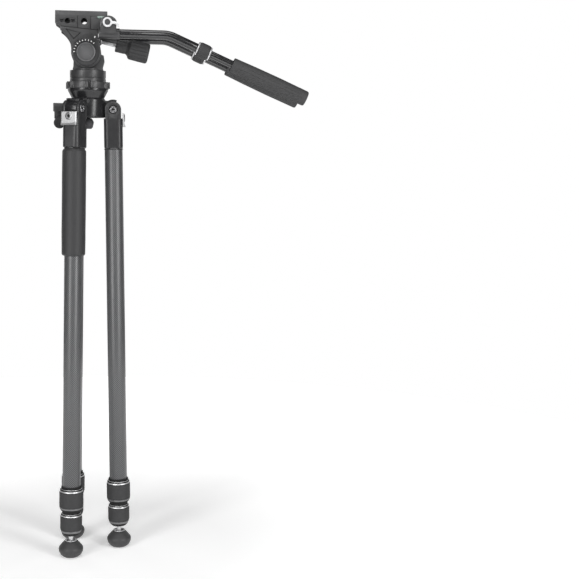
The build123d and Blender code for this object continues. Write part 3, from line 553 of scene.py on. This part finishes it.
def twist_lock(side, which):
    """Rubber band with bright bevelled rings above and below on a black core."""
    node, body, matrix, size = f"{which}_lock_{side}", f"{which}_twist_lock_{side}", LEG[side], LOCKS[which]
    low, high, radius = along(node, matrix)
    neck, waist = high - size["neck"], size["waist"]
    inner = waist - 1.8
    bevel_low, band_low, hem = neck - size["bevel"], low + size["band_low"], low + size["hem"]
    band_top, band_in, hem_in, end_in = bevel_low - 0.7, size["band_in"], size["hem_in"], size["end_in"]
    core = lathe(f"lock_core_{node}", matrix, [
        (inner, high), (waist - 0.4, high), (waist, high - 0.4), (waist, high - 1.5),
        (waist - 0.7, high - 1.9),
        (waist - 0.7, neck + 0.3), (radius - 3.0, neck + 0.05), (radius - 1.2, neck - 1.4),
        (radius - 1.2, band_low), (radius - hem_in - 0.6, hem), (radius - hem_in - 0.3, hem - 0.3),
        (radius - (hem_in + end_in) / 2, hem * 0.4 + low * 0.6), (radius - end_in, low),
        (inner - 4.0, low), (inner - 4.0, low + 1.5), (inner, low + 3.0), (inner, high),
    ], body, "dark", LOCK_SEGMENTS)
    band = lathe(f"lock_band_{node}", matrix, finer([
        (radius - 1.3, band_top), (radius - 0.4, band_top), (radius, band_top - 0.7),
        (radius, band_low + 3.0), (radius - band_in, band_low + 0.3), (radius - 1.3, band_low),
    ], 0.5), body, "rubber", BAND_SEGMENTS, knurled, 60)
    bevel = lathe(f"lock_bevel_{node}", matrix, rounded([
        (radius - 3.2, neck - 0.4), (radius - 3.0, neck), (radius - 2.5, neck),
        (radius - 0.55, bevel_low + 0.7),
        (radius - 0.45, bevel_low + 0.1), (radius - 1.3, bevel_low),
    ], 0.35, 3), body, "silver", LOCK_SEGMENTS)
    ring = lathe(f"lock_hem_{node}", matrix, rounded([
        (radius - 1.3, band_low - 0.1), (radius - band_in - 0.15, band_low - 0.25),
        (radius - (band_in + hem_in) / 2 - 0.05, (band_low + hem) / 2),
        (radius - hem_in, hem), (radius - hem_in - 0.8, hem),
    ], 0.3, 3), body, "hem", LOCK_SEGMENTS)
    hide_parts(node)


def angle_tab(side):
    """Silver pull tab: a flat plate whose lower edge flares out below a curved scoop."""
    node, body, matrix = f"angle_tab_{side}", f"tab_{side}", LEG[side]
    low, high, _ = along(node, matrix)
    face, thick, half = 15.62, 2.6, 14.6
    columns, rows = 28, 26
    scoop_high, scoop_arch, flare_out, soft_edge, screw_at = 7.0, 3.0, 2.3, 0.6, -13.3

    def front(y, z):
        """How far the front stands out at y, z."""
        scoop = low + scoop_high - scoop_arch * (1 - (y / half) ** 2)
        flare = max(0.0, scoop - z) / (scoop - low)
        edge = min(half - abs(y), high - z, z - low + soft_edge)
        return thick + flare_out * flare ** 1.6 - 0.5 * max(0.0, 1 - edge / soft_edge)

    verts, faces = [], []
    for i in range(rows + 1):
        for k in range(columns + 1):
            y, z = -half + 2 * half * k / columns, low + (high - low) * i / rows
            verts.append((face + front(y, z), y, z))
    for i in range(rows):
        for k in range(columns):
            a = i * (columns + 1) + k
            faces.append((a, a + 1, a + columns + 2, a + columns + 1))
    rim = (list(range(columns + 1)) + [i * (columns + 1) + columns for i in range(1, rows + 1)]
           + [rows * (columns + 1) + k for k in range(columns - 1, -1, -1)]
           + [i * (columns + 1) for i in range(rows - 1, 0, -1)])
    back = len(verts)
    verts += [(face, verts[v][1], verts[v][2]) for v in rim]
    count = len(rim)
    faces += [(rim[i], rim[(i + 1) % count], back + (i + 1) % count, back + i) for i in range(count)]
    faces.append(tuple(range(back, back + count)))
    tab = piece(f"tab_plate_{side}", verts, faces, matrix, body, "tab", 40)
    screw = matrix @ Matrix.Translation((face + thick, 0, screw_at)) @ Matrix.Rotation(pi / 2, 4, "Y")
    head = lathe(f"tab_screw_{side}", screw, [
        (0, 0.5), (2.5, 0.5), (2.8, 1.2), (4.6, 1.35), (5.7, 1.1), (6.3, 0.4), (6.3, -0.2), (0, -0.2),
    ], body, "screw", 48)
    # a thin dark hexagon at the bottom of the screw head's dip: painted shade of a hex socket
    socket = lathe(f"tab_socket_shade_{side}", screw, [
        (0, 0.56), (2.5, 0.56), (2.5, 0.4), (0, 0.4),
    ], body, "dark", 6)
    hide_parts(node)


def lower_leg(side):
    """Smallest carbon tube, its end plug, and the bright stud with its swivel ball."""
    node, body, matrix = f"lower_tube_{side}", f"lower_leg_{side}", LEG[side]
    low, high, radius = along(node, matrix)
    ball_r, stud_r, nut_r, ball_sweep = 5.0, 3.9, 5.4, radians(128)
    ball, plug, wall = low + ball_r, low + 26.5, 1.6
    tube = lathe(f"inner_tube_{side}", matrix, [
        (radius - wall, high), (radius - 0.3, high), (radius, high - 0.4),
        (radius, plug), (radius - wall, plug),
        (radius - wall, high),
    ], body, f"carbon_{side}", 64)
    end = lathe(f"tube_plug_{side}", matrix, [
        (0, plug + 6), (radius - 1.7, plug + 6), (radius - 1.7, plug - 0.05), (radius, plug - 0.05),
        (radius, plug - 0.2), (0, plug - 0.2),
    ], body, "satin", 64)
    arc = [(ball_r * sin(a), ball - ball_r * cos(a)) for a in (i * ball_sweep / 18 for i in range(19))]
    stud = lathe(f"stud_{side}", matrix, [
        *arc, (stud_r, ball + 4.4), (stud_r, plug - 4.8), (nut_r, plug - 4.4), (nut_r, plug - 0.2),
        (0, plug - 0.2),
    ], body, "silver", 48)
    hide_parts(node)


def foot(side):
    """Domed rubber foot with a rounded shoulder, a bright ring round its socket and sole grooves."""
    node, body = f"foot_{side}", f"foot_{side}"
    outward = Vector(LEG[side].col[0].xyz)
    matrix = frame_of(JOINTS[f"foot_swivel_{side}"]["pos_m"], (0, 0, 1), (outward.x, outward.y, 0))
    low, high, radius = along(node, matrix)
    outline = rounded([
        (6.75, high - 5.7), (8.9, high - 1.6), (10.3, high - 1.1), (14.9, high - 5.8), (19.7, low + 17.6),
        (radius, low + 14.6), (radius - 0.6, low + 10.0), (17.6, low + 4.6), (13.2, low + 0.9), (9.5, low),
        (7.5, low), (7.2, low + 1.0), (5.8, low + 1.0), (5.5, low), (2.2, low),
        (2.0, low + 0.8), (0, low + 0.8),
    ], 1.4, 5)
    socket = [(0, -5.15), (2.6, -4.4), (4.4, -2.5), (5.1, 0), (4.9, 1.4), (5.9, 3.9), (6.75, high - 5.7)]
    rubber_foot = lathe(f"foot_pad_{side}", matrix, [*socket, *outline[1:]], body, "foot", sharp=50)
    ring = lathe(f"foot_ring_{side}", matrix, rounded([
        (6.85, high - 5.4), (8.75, high - 0.7), (9.0, high - 0.1), (9.8, high - 0.1), (10.2, high - 0.8),
        (9.9, high - 1.2), (8.9, high - 1.5), (6.95, high - 5.6), (6.85, high - 5.4),
    ], 0.3, 3), body, "silver", 64, sharp=50)
    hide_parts(node)


def neck_band(side):
    """Dark ring where the casting clamps the upper tube: painted shade at the joint."""
    matrix = LEG[side]
    low, _, _ = along(f"leg_casting_{side}", matrix)
    inner, outer = TUBE_R + 0.05, TUBE_R + 0.9
    # dark ring at the casting's edge: painted shade in the joint
    band = lathe(f"casting_joint_shade_{side}", matrix, [
        (inner, low + 0.4), (outer, low + 0.4), (outer, low - 0.5),
        (outer - 0.3, low - 0.8), (inner, low - 0.8),
        (inner, low + 0.4),
    ], f"upper_leg_{side}", "dark", 80)


for side in SIDES:
    twist_lock(side, "upper")
    twist_lock(side, "lower")
    angle_tab(side)
    lower_leg(side)
    foot(side)
    neck_band(side)


def foam_sleeve():
    """Foam grip, slightly pulled in where its ends are glued."""
    matrix, node = LEG["left"], "foam_sleeve"
    low, high, radius = along(node, matrix)
    inner, uneven = TUBE_R + 0.06, 0.09
    outline = finer(rounded([
        (inner, high - 0.1), (radius - 3.0, high - 0.1), (radius - 0.2, high - 4.2),
        (radius - 0.05, high - 30),
        (radius, (low + high) / 2), (radius - 0.05, low + 30),
        (radius - 0.3, low + 2.6), (radius - 1.8, low + 0.1),
        (inner, low + 0.1),
    ], 1.2, 5), 3.0)

    def pressed(angle, r, z):
        """Gentle unevenness of a glued foam tube."""
        if r < inner + 0.2:
            return r
        return r - uneven * (1 + sin(3 * angle + z * 0.04) * sin(z * 0.11 + 1.3))

    sleeve = lathe("sleeve", matrix, [*outline, outline[0]], "upper_leg_left", "foam", 96, pressed, 50)
    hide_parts(node)


foam_sleeve()


# ---------------------------------------------------------------- head
def facing(y, side=-1):
    """Frame on the plane at y, in millimetres: x across, y up, z out towards the near (-1) or far (1)."""
    return frame_of((0, y * MM, 0), (0, side, 0), (-side, 0, 0))


def joint_frame(name, x_hint=(0, 1, 0)):
    """Frame at a joint, z along its axis."""
    return frame_of(JOINTS[name]["pos_m"], JOINTS[name]["axis"], x_hint)


def corner(node, which, axis):
    """One coordinate of a CAD node's box in millimetres: which is 0 for its low side, 1 for its high side."""
    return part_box(node)[which]["xyz".index(axis)] / MM


TILT = Vector(JOINTS["tilt"]["pos_m"]) / MM
FACE_NEAR, FACE_FAR = -27.0, 27.0


BLOCK_EDGE = 0.06


def blocks(name, matrix, boxes, body, material):
    """Small raised blocks in one mesh: (centre x, centre y, width, length, turn, low z, high z)."""
    verts, faces = [], []
    for x, y, width, length, turn, low, high in boxes:
        base = len(verts)
        for z, inset in ((low, 0.0), (high - 0.05, 0.0), (high, BLOCK_EDGE)):
            for sx, sy in ((-1, -1), (1, -1), (1, 1), (-1, 1)):
                px, py = sx * (width / 2 - inset), sy * (length / 2 - inset)
                verts.append((x + px * cos(turn) - py * sin(turn), y + px * sin(turn) + py * cos(turn), z))
        for k in range(4):
            n = (k + 1) % 4
            faces += [(base + k, base + n, base + 4 + n, base + 4 + k),
                      (base + 4 + k, base + 4 + n, base + 8 + n, base + 8 + k)]
        faces += [(base + 3, base + 2, base + 1, base), (base + 8, base + 9, base + 10, base + 11)]
    return piece(name, verts, faces, matrix, body, material, 30)


TICKS, TICK_STEP, TICK_RING = 10, 14.6, 19.0  # count, degrees apart, radius
POINTER_AT, POINTER_TURN, POINTER_R, POINTER_TIP = (11.5, 865.0, 0), -25, 1.25, 0.9
DIAL_BORE = 8.1


def drag_dial():
    """Drag dial with a dished face and a knurled rim, its ten white ticks and the pointer above it."""
    node = "drag_dial"
    matrix = frame_of((TILT.x * MM, FACE_NEAR * MM, TILT.z * MM), (0, -1, 0), (1, 0, 0))
    height, radius = -corner(node, 0, "y") + FACE_NEAR, (corner(node, 1, "z") - corner(node, 0, "z")) / 2

    def knurl(angle, r, z):
        """Knurls on the rim only."""
        return r - 0.18 * (r > radius - 0.3) * (0.5 - 0.5 * cos(60 * angle))

    body = lathe("drag_dial_body", matrix, finer([
        (DIAL_BORE, 0.15), (radius - 0.6, 0.15), (radius, 0.7),
        (radius, height - 1.4), (radius - 0.5, height - 0.4),
        (radius - 1.1, height), (radius - 1.8, height), (15.8, height - 0.6), (DIAL_BORE, height - 0.6),
        (DIAL_BORE, 0.15),
    ], 1.2), "drag", "dial", 240, knurl, 40)
    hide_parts(node)
    ticks = []
    for k in range(TICKS):
        angle = radians(180 - k * TICK_STEP)
        x, z = TILT.x + TICK_RING * cos(angle), TILT.z + TICK_RING * sin(angle)
        ticks.append((x, z, 2.0, 1.0, angle, -0.9, -0.04))
    marks = blocks("drag_ticks", facing(FACE_NEAR - height), ticks, "drag", "white")
    drop = [(POINTER_R * cos(a), POINTER_R * sin(a) + (POINTER_TIP if sin(a) > 0.9 else 0))
            for a in (tau * i / 24 for i in range(24))]
    turn = Matrix.Translation(POINTER_AT) @ Matrix.Rotation(radians(POINTER_TURN), 4, "Z")
    pointer = plate("drag_pointer", facing(FACE_NEAR) @ turn, drop, [], 0.5, "tilt", "white", 0.1)


def dial_cap():
    """Dished cap over the drag dial, with a rim and turned rings."""
    node = "dial_cap"
    height = FACE_NEAR - corner(node, 0, "y")
    matrix = frame_of((TILT.x * MM, FACE_NEAR * MM, TILT.z * MM), (0, -1, 0), (1, 0, 0))
    rim = (corner(node, 1, "z") - corner(node, 0, "z")) / 2
    cap = lathe("cap_dish", matrix, [
        (0, 0.05), (8.0, 0.05), (8.0, height - 1.85), (rim, height - 1.85), (rim, height - 1.1),
        (rim - 1.9, height - 0.15), (rim - 2.3, height - 0.15),
        (rim - 2.5, height - 0.5), (rim - 2.8, height - 0.5),
        (rim - 3.0, height), (0, height),
    ], "tilt", "cap", sharp=25)
    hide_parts(node)


def pivot_bolts():
    """Leg pivots: round heads with a turned ring and a round dip on both ends, a thin dark hexagon in each
    dip as painted shade of a hex socket.
    """
    reach = 15.25
    for side in SIDES:
        matrix = LEG[side] @ Matrix.Rotation(-pi / 2, 4, "X")
        head = [
            (2.5, reach - 1.5), (2.7, reach - 0.2), (3.0, reach), (4.1, reach), (4.3, reach - 0.5),
            (4.7, reach - 0.5), (4.9, reach), (5.6, reach), (6.1, reach - 0.5), (6.1, reach - 2.3),
            (4.0, reach - 2.3),
        ]
        bolt = lathe(f"pivot_bolt_{side}", matrix, [
            (0, reach - 1.5), *head, *[(r, -z) for r, z in reversed(head)], (0, 1.5 - reach),
        ], "crown", "steel", 64, sharp=30)
        for label, end in (("near", -1), ("far", 1)):
            low, high = sorted((end * (reach - 1.6), end * (reach - 1.42)))
            # thin dark hexagon in the head's dip: painted shade of the hex socket
            socket = lathe(f"pivot_socket_shade_{side}_{label}", matrix, [
                (0, low), (2.4, low), (2.4, high), (0, high),
            ], "crown", "dark", 6)
        if side == SIDES[0]:
            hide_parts("pivot_bolts")


GROOVES, GROOVE_DEEP, GROOVED_FROM = 16, 0.8, 14.5


def knob_grooves(angle, r, z):
    """Narrow grooves along the knob's body."""
    if r < GROOVED_FROM:
        return r
    return r - GROOVE_DEEP * max(0.0, cos(GROOVES * angle) - 0.8) / 0.2


def tilt_knob():
    """Rubber-covered tilt lock knob with a smooth collar and a grooved body."""
    node, matrix = "tilt_lock_knob", joint_frame("tilt_lock_turn")
    low, high, radius = along(node, matrix)
    profile = rounded([
        (2.7, low), (8.7, low), (9.7, low + 1.0), (9.7, low + 14.5), (9.0, low + 17.5), (11.0, low + 20.5),
        (15.6, low + 23.4), (16.3, low + 25.2), (16.6, low + 38.0), (radius, high - 3.6), (15.6, high - 1.0),
        (12.0, high), (0, high - 0.2),
    ], 1.4, 4)
    bore = [(0, low + 7.5), (2.7, low + 7.5), (2.7, low)]
    body = lathe("lock_knob_body", matrix, finer([*bore, *profile[1:]], 1.6), "tilt_lock", "knob", 224,
                 knob_grooves, 48)
    band = lathe("lock_knob_band", matrix, [
        (9.4, low + 1.6), (9.95, low + 1.9), (9.95, low + 3.0), (9.4, low + 3.3), (9.4, low + 1.6),
    ], "tilt_lock", "satin", 64)
    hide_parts(node)


PANEL_HIGH, PANEL_GAP, PANEL_EDGE = 0.55, 0.45, 0.18
NOSE, SHOULDER, TAIL = -52.1, (-44.2, 881.9), (19.0, 877.4)
SEAM_LEFT, SEAM_RIGHT, SEAM_LOW, SEAM_HIGH = -16.2, 4.9, -0.2, 0.12
PORT_AT, PORT_R, HOLE_AT, HOLE_R = (-32.4, 890.0), 4.7, (-5.6, 890.0), 5.05
SLOT_OFF, SLOT_HALF, SLOT_LOW, SLOT_HIGH = 8.9, 3.3, 887.5, 892.5
RELIEF, RELIEF_INNER = ((-35.3, 877.4), (-10.9, 871.6), (-22.5, 861.5)), 0.84


def side_panels():
    """Raised panels on both sides of the platform, parted by grooves, with the hole and ports left open."""
    top = corner("camera_plate", 0, "z") + 2.6

    def floor_at(x):
        """Height of the panels' sloping lower edge."""
        return SHOULDER[1] - 4.5 * (x - SHOULDER[0]) / 58.0

    hole, port = round_loop(*HOLE_AT, HOLE_R), round_loop(*PORT_AT, PORT_R, 32)
    slots = [rounded_box(x - SLOT_HALF, x + SLOT_HALF, SLOT_LOW, SLOT_HIGH, 0.6, 3)
             for x in (PORT_AT[0] - SLOT_OFF, PORT_AT[0] + SLOT_OFF)]
    outlines = {
        "front": ([
            (NOSE, top), (NOSE, 887.0), SHOULDER, (SEAM_LEFT - PANEL_GAP, floor_at(SEAM_LEFT)),
            (SEAM_LEFT - PANEL_GAP, top),
        ], [port, *slots], PANEL_HIGH),
        "band": ([
            (SEAM_LEFT + PANEL_GAP, top), (SEAM_LEFT + PANEL_GAP, floor_at(SEAM_LEFT)),
            (SEAM_RIGHT - PANEL_GAP, floor_at(SEAM_RIGHT)), (SEAM_RIGHT - PANEL_GAP, top),
        ], [hole], PANEL_HIGH + 0.5),
        "tail": ([
            (SEAM_RIGHT + PANEL_GAP, top - 5.2), (SEAM_RIGHT + PANEL_GAP, floor_at(SEAM_RIGHT)), TAIL,
            (TAIL[0] + 3.6, top - 8), (TAIL[0] + 3.6, top - 5.2),
        ], [], PANEL_HIGH),
    }
    for label, (outline, holes, height) in outlines.items():
        near = plate(f"panel_{label}_near", facing(FACE_NEAR), outline, holes, 2 * height,
                     "tilt", "head", PANEL_EDGE)
        mirrored = [(-x, z) for x, z in outline]
        kept = [[(-x, z) for x, z in loop] for loop in holes if label != "front" or loop is port]
        far = plate(f"panel_{label}_far", facing(FACE_FAR, 1), mirrored, kept, 2 * height,
                    "tilt", "head", PANEL_EDGE)
    # shadow lines in the grooves and round the triangular relief
    for label, matrix, flip in (("near", facing(FACE_NEAR), 1), ("far", facing(FACE_FAR, 1), -1)):
        lines = [
            (flip * x, (top + floor_at(x)) / 2, 2 * PANEL_GAP + 0.1, top - floor_at(x), 0,
             SEAM_LOW, SEAM_HIGH)
            for x in (SEAM_LEFT, SEAM_RIGHT)
        ]
        middle, slope = -12.6, radians(-4.4) * flip
        lines.append((flip * middle, floor_at(middle) - 0.5, 62.0, 1.1, slope, SEAM_LOW, SEAM_HIGH))
        seams = blocks(f"panel_seams_{label}", matrix, lines, "tilt", "dark")
    centre = Vector((sum(x for x, _ in RELIEF) / 3, sum(z for _, z in RELIEF) / 3))
    inner = [tuple(centre.lerp(Vector(p), RELIEF_INNER)) for p in RELIEF]
    relief = plate("relief_line", facing(FACE_NEAR + 1.0), list(RELIEF), [inner], 0.5, "tilt", "dark", 0.1)


def vial():
    """Two ring lines and the air bubble of the spirit level."""
    node = "bubble_level"
    low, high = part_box(node)
    centre = (Vector(low) + Vector(high)) / 2
    matrix = frame_of(centre, (1, 0, 0), (0, 0, 1))
    radius, half = (high[2] - low[2]) / 2 / MM, (high[0] - low[0]) / 2 / MM
    line_at = 1.6
    for label, shift in (("front", -line_at), ("rear", line_at)):
        line = lathe(f"vial_line_{label}", matrix, [
            (radius - 0.1, shift - 0.2), (radius + 0.04, shift - 0.2), (radius + 0.04, shift + 0.2),
            (radius - 0.1, shift + 0.2), (radius - 0.1, shift - 0.2),
        ], "tilt", "dark", 40)
    for label, shift in (("front", -half), ("rear", half)):
        end = lathe(f"vial_end_{label}", matrix, [
            (radius - 0.3, shift - 0.25), (radius + 0.03, shift - 0.25), (radius + 0.03, shift + 0.25),
            (radius - 0.3, shift + 0.25), (radius - 0.3, shift - 0.25),
        ], "tilt", "satin", 40)
    bubble = lathe("vial_bubble", matrix @ Matrix.Translation((radius * 0.62, 0, 0)), [
        (0.95 * sin(a), -1.35 * cos(a)) for a in (pi * i / 14 for i in range(15))
    ], "tilt", "bubble", 24, sharp=80)


pivot_bolts()
drag_dial()
dial_cap()
tilt_knob()
side_panels()
vial()


def carved(name, node, cutters, body, material, width):
    """A copy of a CAD node with pockets cut into it, as a piece of its own."""
    mesh = NODES[node].data.copy()
    work = bpy.data.objects.new(name, mesh)
    bpy.context.scene.collection.objects.link(work)
    weld_facets(work)
    for cutter in cutters:
        cut = work.modifiers.new("cut", "BOOLEAN")
        cut.operation = "DIFFERENCE"
        cut.object = cutter
        cut.solver = "EXACT"
    view = bpy.context.evaluated_depsgraph_get()
    view.update()
    result = bpy.data.meshes.new_from_object(work.evaluated_get(view))
    verts = [tuple(v.co / MM) for v in result.vertices]
    faces = [tuple(p.vertices) for p in result.polygons]
    bpy.data.objects.remove(work)
    for cutter in cutters:
        bpy.data.objects.remove(cutter)
    made = piece(name, verts, faces, Matrix.Scale(MM, 4), body, material, merge=10 * MERGE)
    round_edges(made, width)
    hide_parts(node)


def cutting_block(outline, low, high):
    """A prism to cut with: outline in X, Y and from low to high in Z, in millimetres."""
    count = len(outline)
    verts = [(x * MM, y * MM, z * MM) for z in (low, high) for x, y in outline]
    faces = [(k, (k + 1) % count, count + (k + 1) % count, count + k) for k in range(count)]
    faces += [tuple(range(count - 1, -1, -1)), tuple(range(count, 2 * count))]
    mesh = bpy.data.meshes.new("cutter")
    mesh.from_pydata(verts, [], faces)
    made = bpy.data.objects.new("cutter", mesh)
    bpy.context.scene.collection.objects.link(made)
    return made


PLATE_TOP = corner("camera_plate", 1, "z")
PADS = (("front", -49.5, -20.5), ("rear", 1.0, 29.0))
PAD_HALF, PAD_DEEP, PAD_RIBS, RIB_HIGH = 22, 0.6, 14, 0.3
POCKETS = [
    cutting_block(rounded_box(start, end, -PAD_HALF, PAD_HALF, 3), PLATE_TOP - PAD_DEEP, PLATE_TOP + 1)
    for _, start, end in PADS
]
carved("sliding_plate", "camera_plate", POCKETS, "plate", "plate", 0.3)


def pad(label, start, end):
    """Ribbed rubber pad set into the camera plate's top."""
    verts, faces = [], []
    inset, low, high = 0.1, PLATE_TOP - PAD_DEEP, PLATE_TOP - 0.02
    half = PAD_HALF - inset
    rows = [-half + 2 * half * i / (PAD_RIBS * 4) for i in range(PAD_RIBS * 4 + 1)]
    for i, y in enumerate(rows):
        z = high - (RIB_HIGH if i % 4 in (0, 3) else 0.0)
        verts += [(start + inset, y, low), (start + inset, y, z), (end - inset, y, z), (end - inset, y, low)]
    for i in range(len(rows) - 1):
        a, b = 4 * i, 4 * (i + 1)
        faces += [(a + k, b + k, b + (k + 1) % 4, a + (k + 1) % 4) for k in range(4)]
    last = 4 * (len(rows) - 1)
    faces += [(0, 1, 2, 3), (last + 3, last + 2, last + 1, last)]
    made = piece(f"plate_pad_{label}", verts, faces, Matrix.Scale(MM, 4), "plate", "rubber", 30)


for label, start, end in PADS:
    pad(label, start, end)


# ---------------------------------------------------------------- pan bars
GRIP_RIB, GRIP_PANEL, GRIP_TAPER, GRIP_SEAM, GRIP_SKIN_R = 2.0, 0.38, 0.16, 0.9, 10.5
COLLAR_KNURLS, COLLAR_KNURL_DEEP, COLLAR_KNURL_PITCH = 60, 0.16, 1.4
OUTER_BORE, INNER_BORE = 7.6, 6.6


def grip_skin(start, end):
    """Ribbed panels that widen towards the end, parted by smooth raised spines and thin seams."""
    def shape(angle, r, z):
        if r < GRIP_SKIN_R:
            return r
        inside = min(1.0, max(0.0, min(z - start - 12, end - 7 - z)) / 2.0)
        share = (z - start) / (end - start)
        quarter = abs((angle / (tau / 4)) % 1.0 - 0.5) * 2
        edge = 0.62 + GRIP_TAPER * share
        panel = max(0.0, min(1.0, (edge - quarter) / 0.05))
        seam = max(0.0, 1 - abs(quarter - edge) / 0.08)
        rib = (0.5 - 0.5 * cos(tau * z / GRIP_RIB)) * GRIP_PANEL
        return r - inside * (panel * (0.15 + rib) + seam * GRIP_SEAM)
    return shape


def collar_knurl(angle, r, z):
    """Crossed knurling on the collar's band."""
    crossed = cos(COLLAR_KNURLS * angle) * cos(tau * z / COLLAR_KNURL_PITCH)
    return r - COLLAR_KNURL_DEEP * (0.5 - 0.5 * crossed)


def pan_bar_pieces(bar):
    """Handgrip and telescoping collar of one pan bar."""
    matrix = joint_frame(f"collar_twist_{bar}", (0, 0, 1))
    node = f"grip_{bar}"
    low, high, radius = along(node, matrix)
    outline = finer([(10.4, low), (11.3, low + 0.5), (11.6, low + 1.5), (12.45, low + 35), (radius, low + 80),
                     (12.5, high - 4), (12.4, high - 2.4), (11.9, high - 0.7), (11.0, high)], 0.42)
    grip = lathe(f"grip_rubber_{bar}", matrix, [
        (0, high - 8.0), (6.43, high - 8.0), (6.43, low),
        (10.4, low), *outline[1:], (5.2, high), (4.9, high - 0.5),
        (0, high - 0.5),
    ], f"handle_{bar}", "grip", 120, grip_skin(low, high), 45)
    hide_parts(node)
    node = f"bar_collar_{bar}"
    low, high, radius = along(node, matrix)
    body = f"collar_{bar}"
    band = lathe(f"collar_band_{bar}", matrix, finer([
        (radius - 2.4, low + 2.5), (radius - 1.2, low + 2.6), (radius - 0.05, low + 5.7),
        (radius - 0.05, high - 5.7), (radius - 1.2, high - 2.6), (radius - 2.4, high - 2.5),
    ], 0.45), body, "rubber", 240, collar_knurl, 60)
    core = lathe(f"collar_core_{bar}", matrix, [
        (OUTER_BORE, low + 0.4), (radius - 2.2, low + 2.4),
        (radius - 2.2, high - 2.4), (INNER_BORE, high - 0.4),
        (INNER_BORE, high - 7.2), (OUTER_BORE, high - 7.2), (OUTER_BORE, low + 0.4),
    ], body, "satin", 80)
    for label, end, sign, bore in (("inner", low, 1, OUTER_BORE), ("outer", high, -1, INNER_BORE)):
        lathe(f"collar_ring_{label}_{bar}", matrix, [
            (bore, end + sign * 0.3), (bore + 0.6, end), (radius - 2.1, end),
            (radius - 1.3, end + sign * 0.8),
            (radius - 1.2, end + sign * 1.9), (radius - 1.6, end + sign * 2.4),
            (radius - 2.6, end + sign * 2.4),
            (bore, end + sign * 0.9), (bore, end + sign * 0.3),
        ], body, "silver")
    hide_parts(node)


for bar in BARS:
    pan_bar_pieces(bar)


# ---------------------------------------------------------------- studio
SURROUND, FLOOR_GLOW = 0.03, 0.36
# each soft box: name, place, width and height in metres, watts
LIGHTS = (
    ("key", (-1.41, -1.83, 1.0), (0.72, 2.1), 37.0),
    ("fill", (1.56, -1.70, 1.0), (0.63, 2.1), 37.0),
    ("front", (0.0, -2.1, 1.75), (0.5, 1.2), 8.0),
    ("top", (0.10, -0.35, 2.3), (1.2, 0.7), 9.0),
    ("back_left", (-1.15, 1.50, 0.9), (0.5, 1.5), 4.0),
    ("back_right", (1.15, 1.50, 0.9), (0.5, 1.5), 4.0),
)
FRAME_PX, FOCAL_PX, AXIS_PX = 579, 1109.7, 222.0
YAW, PITCH, ROLL = radians(5.77), radians(6.77), radians(0.85)
SENSOR = 36.0
CAMERA_AT = Vector((0.0384, -1.8760, 0.6736))
FLOOR_R, FLOOR_SIDES = 1.5, 128
GLOW_FROM, GLOW_TO = 0.25, 1.1
AIM = Vector((0.02, 0.0, 0.5))


def studio():
    """White floor, tall soft boxes left and right, and a white sky that only the camera sees as white."""
    verts = [(x, y, 0.0) for x, y in round_loop(0, 0, FLOOR_R, FLOOR_SIDES)]
    mesh = bpy.data.meshes.new("studio_floor")
    mesh.from_pydata(verts, [], [tuple(range(FLOOR_SIDES))])
    s = Shader("floor_paper")
    grain, away = s.noise(s.place(), 40, 3), s.node("VectorMath", operation="LENGTH")
    s.link(s.place(), away.inputs[0])
    s.set(
        Base_Color=s.mix(grain, (0.84, 0.84, 0.84), (0.88, 0.88, 0.88)),
        Roughness=0.8,
        Specular_IOR_Level=0.1,
        Emission_Color=(1, 1, 1),
        Emission_Strength=s.ramp(away.outputs["Value"], GLOW_FROM, GLOW_TO, FLOOR_GLOW, 1.0),
    )
    mesh.materials.append(s.material)
    floor = bpy.data.objects.new("studio_floor", mesh)
    bpy.context.scene.collection.objects.link(floor)
    for name, spot, (wide, tall), power in LIGHTS:
        data = bpy.data.lights.new(name, "AREA")
        data.shape = "RECTANGLE"
        data.size, data.size_y, data.energy = wide, tall, power
        light = bpy.data.objects.new(name, data)
        light.location = spot
        light.rotation_euler = (AIM - Vector(spot)).to_track_quat("-Z", "Y").to_euler()
        bpy.context.scene.collection.objects.link(light)
    world = bpy.data.worlds.new("surround")
    world.use_nodes = True
    tree = world.node_tree
    seen = tree.nodes.new("ShaderNodeLightPath").outputs["Is Camera Ray"]
    strength = tree.nodes.new("ShaderNodeMapRange")
    strength.inputs["To Min"].default_value, strength.inputs["To Max"].default_value = SURROUND, 1.0
    tree.links.new(seen, strength.inputs["Value"])
    background = tree.nodes["Background"]
    background.inputs["Color"].default_value = (1.0, 1.0, 1.0, 1)
    tree.links.new(strength.outputs[0], background.inputs["Strength"])
    bpy.context.scene.world = world


def camera():
    """Camera at the photograph's angle: level with the head, its frame shifted to take in the bars."""
    ahead = Vector((sin(YAW) * cos(PITCH), cos(YAW) * cos(PITCH), -sin(PITCH)))
    right = Vector((cos(YAW), -sin(YAW), 0))
    up = right.cross(ahead)
    right, up = right * cos(ROLL) + up * sin(ROLL), up * cos(ROLL) - right * sin(ROLL)
    data = bpy.data.cameras.new("camera")
    data.sensor_width = SENSOR
    data.lens = SENSOR * FOCAL_PX / FRAME_PX
    data.shift_x = (FRAME_PX / 2 - AXIS_PX) / FRAME_PX
    made = bpy.data.objects.new("camera", data)
    made.matrix_world = Matrix.Translation(CAMERA_AT) @ Matrix((right, up, -ahead)).transposed().to_4x4()
    bpy.context.scene.collection.objects.link(made)
    bpy.context.scene.camera = made


studio()
camera()
bpy.context.scene.view_settings.view_transform = "Standard"
bpy.context.scene.view_settings.exposure = 0.0
